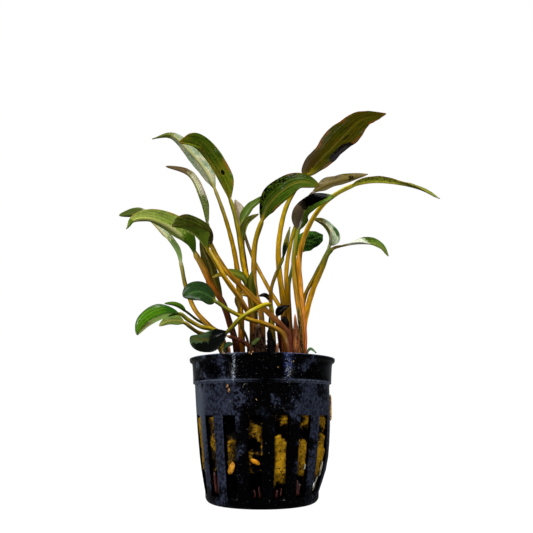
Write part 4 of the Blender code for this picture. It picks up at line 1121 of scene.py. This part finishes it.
grow_leaf("leaf_far_right", foot=(14.1, 0),
          stalk=[(14.6, 0, 55), (13.7, 0, 70.5), (13.3, 0, 81.5), (16, -1, 92), (23, -2, 103)],
          blade=[(32.5, -4, 108.7), (39.5, -6, 109.7), (47.5, -10, 107.5), (54, -16, 102.8),
                 (58.5, -24, 95.5)], width=9.5, thick=(2.3, 1.7), face=(0, -0.2, 1), peak=0.2, full=0.9,
          taper=0.3, upper=((138, 145, 40), (112, 105, 40)), under=((238, 255, 73), (194, 215, 52)),
          margin=(177, 140, 74), vein=(209, 196, 91), rib=(252, 227, 91),
          stem=((201, 113, 51), (187, 124, 29), (153, 142, 12)), vein_strength=0.4,
          stains_and_glints=[((104, 112, 40), 0, 0.9, 1.6, 0.42, 0.3, 0),
                  ((122, 108, 40), 0.8, 0.42, 0.5, 0.5, 0.6, 0.75),
                  ((84, 60, 28), -0.9, 0.4, 0.35, 0.5, 0.6, 0.6)])
grow_leaf("leaf_black_right", foot=(13.5, -3), stalk=[(13.5, -3.5, 55.5), (11.5, -6, 71), (11, -7.5, 79.5)],
          blade=[(12.5, -9.5, 89.3), (14.3, -12, 94.7), (17.7, -15, 97.3), (24.5, -18, 98.8)], width=9.6,
          thick=(2.1, 1.6), face=(-0.4, -1, 0.3), tip_face=(-0.3, -0.9, 0.6), full=0.55,
          upper=((42, 73, 6), (36, 60, 5)), under=((90, 110, 60), (70, 90, 50)), margin=(36, 41, 7),
          vein=(124, 145, 45), rib=(152, 170, 67), stem=((195, 80, 13), (166, 118, 32), (125, 117, 3)),
          stains_and_glints=[((104, 88, 64), -0.6, 0.12, 0.95, 0.38, 0.4, 0),
                  ((40, 32, 28), -0.6, 0.46, 0.8, 0.07, 0.5, 0.2),
                  ((1, 1, 1), -0.45, 0.68, 0.75, 0.24, 0.3, 0),
                  # a painted highlight: a silvery, speckled glint low on the blade
                  ((196, 196, 184), 0.25, 0.1, 0.25, 0.12, 0.6, 0.7)])
grow_leaf("leaf_dark_right", foot=(11.5, 7.5), stalk=[(10, 7, 64.5), (10, 10, 74.5), (11.5, 13, 82.5)],
          blade=[(12.5, 14, 87), (17, 18.5, 94), (25, 24.5, 99.5)], width=8.5, thick=(1.5, 1.2), fold=10,
          peak=0.55, full=0.6, face=(0.3, -0.9, 0.3), taper=0.3, point=0.5, scallop=(0.1, 2.4, 0.1),
          wet=0.12, upper=((47, 97, 18), (23, 45, 8)), under=((40, 80, 36), (30, 64, 30)),
          margin=(35, 54, 12), rib=(65, 99, 28), stem=((50, 46, 20), (94, 60, 5), (50, 80, 30)),
          vein_strength=0.25,
          stains_and_glints=[((74, 116, 48), -0.1, 0.55, 0.9, 0.34, 0.8, 0.75),
                  ((6, 14, 3), 0.3, 0.5, 0.8, 0.34, 0.9, 0.6)])
grow_leaf("leaf_drooping_right", foot=(12.5, 3), stalk=[(15.5, 3.5, 61), (18.5, 5.5, 71.5), (22, 7, 79.5)],
          blade=[(25.8, 9, 87.8), (32.5, 11, 90.8), (40.5, 14, 92.5), (46.5, 17, 92), (50.6, 19.5, 88.6)],
          width=8, thick=(2.2, 2), face=(0.1, 0.1, 1), tip_face=(0.4, -0.9, 0.55), peak=0.68, full=1,
          flare=2.2, vein_strength=0.3, upper=((59, 89, 18), (73, 104, 34)),
          under=((196, 177, 100), (206, 163, 88)), margin=(136, 114, 62), rib=(136, 132, 62),
          stem=((110, 60, 24), (230, 166, 27), (91, 92, 5)),
          stains_and_glints=[((204, 208, 186), 0, 0.4, 1.6, 0.18, 0.4, 0), ((112, 92, 40), 0, 0.06, 1.6, 0.2, 0.4, 0)])
grow_leaf("leaf_crumpled_right", foot=(14.5, 6), stalk=[(15.3, 7.5, 68), (19.5, 10, 77.5), (23.3, 13, 85)],
          blade=[(26.3, 15, 91.5), (26.8, 15.5, 96), (24.5, 16, 100.5), (20, 16, 103.5)], width=8,
          thick=(1.8, 1.3), fold=25, face=(1, -0.6, 0.4), halves=(1.5, 0.9),
          upper=((200, 218, 182), (206, 186, 150)), under=((80, 93, 16), (66, 94, 20)),
          margin=(136, 83, 40), rib=(131, 136, 79), stem=((150, 84, 40), (146, 109, 15), (72, 90, 4)),
          stains_and_glints=[((60, 92, 48), 0.75, 0.42, 0.25, 0.12, 0.4, 0),
                  ((96, 90, 34), 0, 0.9, 1.2, 0.22, 0.4, 0)])
grow_leaf("leaf_thin_dark", foot=(5, 0), stalk=[(3.5, -1, 60), (3, -5, 69), (5, -7, 75)],
          blade=[(7, -7.5, 79.5), (8.5, -6.5, 86), (10, -4, 93)], width=2.1, thick=(1.5, 1.2), fold=20,
          face=(-0.3, -1, 0.2), upper=((116, 112, 34), (90, 92, 24)), margin=(47, 46, 9), rib=(96, 90, 22),
          stem=((60, 34, 18), (134, 90, 27), (89, 76, 2)),
          stains_and_glints=[((14, 24, 6), 0, 0.12, 1.6, 0.36, 0.3, 0)])
grow_leaf("leaf_tiny_black_a", foot=(2.5, 2.5), stalk=[(2.5, 2.5, 58), (3, 2.5, 65.5)],
          blade=[(2.5, 2, 67), (1, 1.5, 68.5), (-1.5, 1.5, 68.5)], width=3, thick=(1, 0.8),
          face=(0.1, -0.7, 0.7), upper=((1, 2, 1), (1, 1, 1)), margin=(2, 2, 1), rib=(8, 10, 5),
          stem=((30, 18, 10), (24, 18, 10), (4, 4, 3)))
grow_leaf("leaf_tiny_black_b", foot=(7.5, -1.5), stalk=[(5.5, -2, 55.5)],
          blade=[(5, -3, 60), (6.5, -3.5, 62.5), (9.5, -3.5, 64)], width=3, thick=(1.2, 1), fold=10,
          face=(0.4, -0.7, 0.5), upper=((1, 1, 1), (2, 1, 1)), margin=(2, 2, 1), rib=(9, 7, 2),
          stem=((60, 34, 20), (133, 57, 22), (20, 20, 14)))
grow_leaf("leaf_tiny_front", foot=(-4.5, -10.5),
          blade=[(-3.5, -11.5, 49), (-2.5, -12, 50), (-0.5, -12, 51.5)], width=2.4, thick=(0.9, 0.7),
          fold=10, face=(-0.3, -0.9, 0.3), upper=((9, 25, 2), (5, 14, 1)), margin=(5, 12, 2),
          rib=(67, 77, 34), stem=((20, 40, 20), (30, 60, 30), (20, 29, 10)))
grow_leaf("leaf_tiny_left", foot=(-10.5, -7), blade=[(-12.5, -8, 48), (-11.5, -8.5, 49.5), (-9.5, -9, 50)],
          width=2.4, thick=(0.9, 0.7), fold=10, face=(-0.3, -0.9, 0.3), upper=((13, 36, 15), (6, 21, 8)),
          margin=(7, 18, 8), rib=(75, 101, 69), stem=((20, 36, 20), (26, 50, 26), (36, 80, 40)))
grow_leaf("leaf_rim_loop", foot=(18.5, -3), blade=[(15.5, -3, 47.5), (16.5, -3, 49), (18.5, -3.5, 47.5)],
          width=1.2, thick=(0.8, 0.6), fold=10, face=(0, -0.7, 0.7), upper=((40, 70, 40), (26, 50, 28)),
          margin=(20, 34, 20), rib=(90, 120, 80), stem=((20, 36, 20), (26, 50, 26), (36, 60, 34)))


# Crown
# Where the stalks meet, the crown is a clump of short, dark stems: fibrous rhizomes, rotted or cut
# stalks and one torn red sheath, each grown from the wool. They are round stems with a lumpy, split
# bark and a few rootlets, and their tops are frayed.

bark_inputs = {"Dark": grey, "Light": grey, "Top": grey, "Top share": 0.8}
bark, given, gives = start_group("bark", bark_inputs, surface)
share = read_marks(bark, "height")[0]
place = object_place(bark)
splits = grain(on_vector("MULTIPLY", place, (2.6, 2.6, 0.35)), 1.0, 5, 0.65)
crumbs = grain(place, 1.3, 4, 0.6)
tone = mix(step(splits, 0.44, 0.62), given["Dark"], given["Light"])
tone = mix(step(crumbs, 0.52, 0.62) * 0.75, tone, given["Dark"])
tip = step(share + (crumbs - 0.5) * 0.3 - given["Top share"], -0.04, 0.04)
mix(tip, tone, given["Top"]).feeds(gives["Color"])
(crumbs * 0.4 + 0.15).feeds(gives["Roughness"])
(splits + crumbs * 0.5).feeds(gives["Height"])
stem_columns, stem_rows = 36, 60
rootlet_radius = 0.07


def grow_stem(name, line, radius, dark, light, top, top_share, flat, lumps, frayed=0.0, rootlets=0):
    """A short crown stem along the line, with its bark and rootlets.

    radius is its size at even steps along it, dark and light are the bark's colours and top the
    colour from top_share up. flat presses it from the front, lumps and frayed roughen it.
    """
    curve, length = smooth_route(line)
    share = np.linspace(0, 1, stem_rows + 1)
    centre, tangent = read_route(curve, length, length[-1] * share)
    side = np.cross(tangent, (0, -1, 0))
    side /= np.linalg.norm(side, axis=1, keepdims=True)
    front = np.cross(side, tangent)
    size = np.interp(share, np.linspace(0, 1, len(radius)), radius)
    size[-6:] *= np.sqrt(np.linspace(1, 0.05, 6))
    points = np.zeros((stem_rows + 1, stem_columns + 1, 3))
    marks = np.zeros(points.shape)
    marks[:, :, 0] = share[:, None]
    seed = Vector((len(name) * 3.7, sum(map(ord, name)) * 0.31, 0))
    for row in range(stem_rows + 1):
        fray = frayed * max(share[row] - 0.8, 0) / 0.2
        for column in range(stem_columns + 1):
            angle = 2 * math.pi * (column % stem_columns) / stem_columns
            right, ahead = math.cos(angle), math.sin(angle)
            ray = side[row] * right + front[row] * ahead * flat
            spot = Vector(centre[row] + ray * size[row])
            ridge = noise.noise(Vector((right * 3, ahead * 3, share[row] * 2.5)) + seed)
            lump = noise.fractal(spot * 0.7 + seed, 0.9, 2, 4)
            grown = size[row] * (1 + lumps * (ridge * 1.2 + lump) - lumps * 0.4)
            rag = noise.noise(Vector((right * 2.2, ahead * 2.2, 7)) + seed) * fray
            points[row, column] = centre[row] + ray * grown + tangent[row] * rag
    points[0] = points[0, :-1].mean(axis=0)
    points[-1] = points[-1, :-1].mean(axis=0)
    stem = wrap_grid(name, stem_columns, stem_rows, points, height=marks)
    if rootlets:
        dice = np.random.default_rng(len(name))
        lines = []
        for _ in range(rootlets):
            row = int(dice.uniform(0.05, 0.8) * stem_rows)
            angle = dice.uniform(0, 2 * math.pi)
            ray = side[row] * math.cos(angle) + front[row] * math.sin(angle)
            reach, drop = dice.uniform(0.5, 1.3), dice.uniform(0.5, 2.5)
            start = centre[row] + ray * size[row] * 0.8
            strand = [start + ray * reach * math.sin(t * 1.6) - np.array((0, 0, drop)) * t * t
                      for t in np.linspace(0, 1, 6)]
            lines.append(np.maximum(strand, (-99, -99, stem_foot)))
        stem = join_pieces(name, [stem, tubes(name + "_rootlets", lines, [rootlet_radius] * rootlets, 5)])
    skin, tree, shader = start_material(name, Specular_IOR_Level=0.05)
    seen = place_group(tree, bark, Dark=paint(*dark), Light=paint(*light), Top=paint(*top),
                       Top_share=top_share)
    seen["Color"].feeds(shader.inputs["Base Color"])
    seen["Roughness"].feeds(shader.inputs["Roughness"])
    raise_surface(shader, seen["Height"], 0.0003)
    stem.data.materials.append(skin)
    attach(stem, "root")
    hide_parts(name)


grow_stem("rhizome_centre", [(-0.4, -8.6, 40.6), (-0.9, -8.6, 49), (-1.4, -9, 53), (-1.7, -9.2, 56.5)],
          [3.1, 2.7, 2.0, 0.9], (4, 3, 2), (88, 56, 38), (96, 70, 52), 0.95, 0.8, 0.3, 0.8, 60)
# The middle rhizome's bark is near black all over. It is dark bark, and it also stands as painted shade in
# the middle of the crown.
grow_stem("rhizome_middle", [(3.4, -6.2, 40.6), (3.2, -6.3, 47), (2.8, -6.5, 51), (2.4, -6.7, 55)],
          [2.6, 2.2, 1.5, 0.6], (1, 0, 0), (16, 9, 6), (5, 3, 2), 0.9, 0.9, 0.3, 0.8, 40)
grow_stem("rhizome_left", [(-6.3, -8.3, 40.6), (-6.2, -8.2, 43.5), (-6, -8, 46.5)],
          [1.5, 1.3, 0.6], (16, 9, 6), (70, 44, 28), (36, 22, 14), 0.9, 0.9, 0.2, 0.5, 8)
grow_stem("stub_rotted", [(7.7, -3.6, 40.6), (7.9, -3.6, 48), (7.9, -3.7, 55), (7.9, -3.8, 60)],
          [1.3, 1.4, 1.5, 1.3], (46, 20, 8), (176, 94, 40), (5, 3, 2), 0.74, 0.8, 0.18, 2.2, 10)
grow_stem("stub_cut", [(-2.6, -9.6, 40.6), (-3.2, -9.4, 47.5), (-5.5, -9.4, 50), (-8.6, -9.5, 51.5),
                       (-12, -9.3, 52.6)],
          [0.8, 0.8, 0.8, 0.7, 0.6], (50, 22, 16), (112, 58, 36), (176, 122, 56), 0.95, 0.9, 0.08)
grow_stem("stub_orange_left", [(-10.6, -13, 40.6), (-10.6, -13, 45), (-10.8, -13, 48.7)],
          [0.9, 0.8, 0.4], (60, 30, 16), (124, 78, 46), (150, 100, 66), 0.9, 0.8, 0.08, 0.5)
grow_stem("stub_orange_right", [(4.9, -12, 40.6), (4.9, -12, 46), (5.1, -12, 49.8)],
          [0.8, 0.7, 0.4], (70, 38, 22), (130, 84, 52), (150, 108, 78), 0.9, 0.8, 0.08, 0.5)
grow_stem("sheath_red", [(12.2, -7.4, 40.6), (11.6, -7, 50), (11.4, -6.7, 56), (11.2, -6.6, 60.5)],
          [1.9, 1.6, 1.1, 0.25], (72, 36, 18), (142, 88, 44), (160, 100, 54), 0.93, 0.5, 0.16, 0.6, 6)
grow_stem("stem_dark", [(13.9, -6, 40.6), (13.3, -5.9, 50), (12.8, -6, 57), (12.4, -6.8, 63)],
          [0.8, 0.7, 0.55, 0.4], (18, 12, 6), (134, 104, 36), (84, 84, 28), 0.9, 1.0, 0.12)


# Gravel in the slots
# An ochre grain and an orange chip of the tank's gravel are caught in two of the pot's front slots,
# between the plastic and the wool. They are worn stone, waxy and a little scratched.


def set_stone(name, slot, height, radius, half, lean, light, dark):
    """A worn grain standing in a slot, the slots counted from the one right of the front."""
    clear_selection()
    bpy.ops.mesh.primitive_ico_sphere_add(subdivisions=5, radius=1)
    stone = bpy.context.object
    stone.name = name
    for vertex in stone.data.vertices:
        way = vertex.co.copy()
        flat_side = 1 - 0.22 * max(0, abs(way.x + 0.4 * way.z) - 0.6)
        worn = 0.93 + 0.1 * noise.fractal(way * 1.3 + Vector((slot, 2, 5)), 1, 2, 4)
        vertex.co = Vector([way[axis] * half[axis] * MM for axis in range(3)]) * worn * flat_side
    turn = slot_turn + math.radians(slot_spacing) * slot
    stone.data.transform(Matrix.Rotation(math.radians(lean), 4, "Y"))
    stone.data.transform(Matrix.Translation((0, -radius * MM, height * MM)))
    stone.data.transform(Matrix.Rotation(turn, 4, "Z"))
    bpy.ops.object.shade_smooth()
    finish, tree, shader = start_material(name, Roughness=0.45, Specular_IOR_Level=0.1)
    vein = grain(object_place(tree), 0.9, 5, 0.7)
    mix(step(vein, 0.4, 0.62), paint(*light), paint(*dark)).feeds(shader.inputs["Base Color"])
    raise_surface(shader, vein, 0.0001)
    stone.data.materials.append(finish)
    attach(stone, "root")
    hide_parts(name)


set_stone("grain_ochre", -2, 11.6, 19.35, (1.2, 0.5, 1.95), 28, (200, 142, 34), (140, 90, 20))
set_stone("chip_orange", -1, 13.6, 19.55, (1.8, 0.5, 0.72), 24, (184, 122, 14), (128, 74, 10))
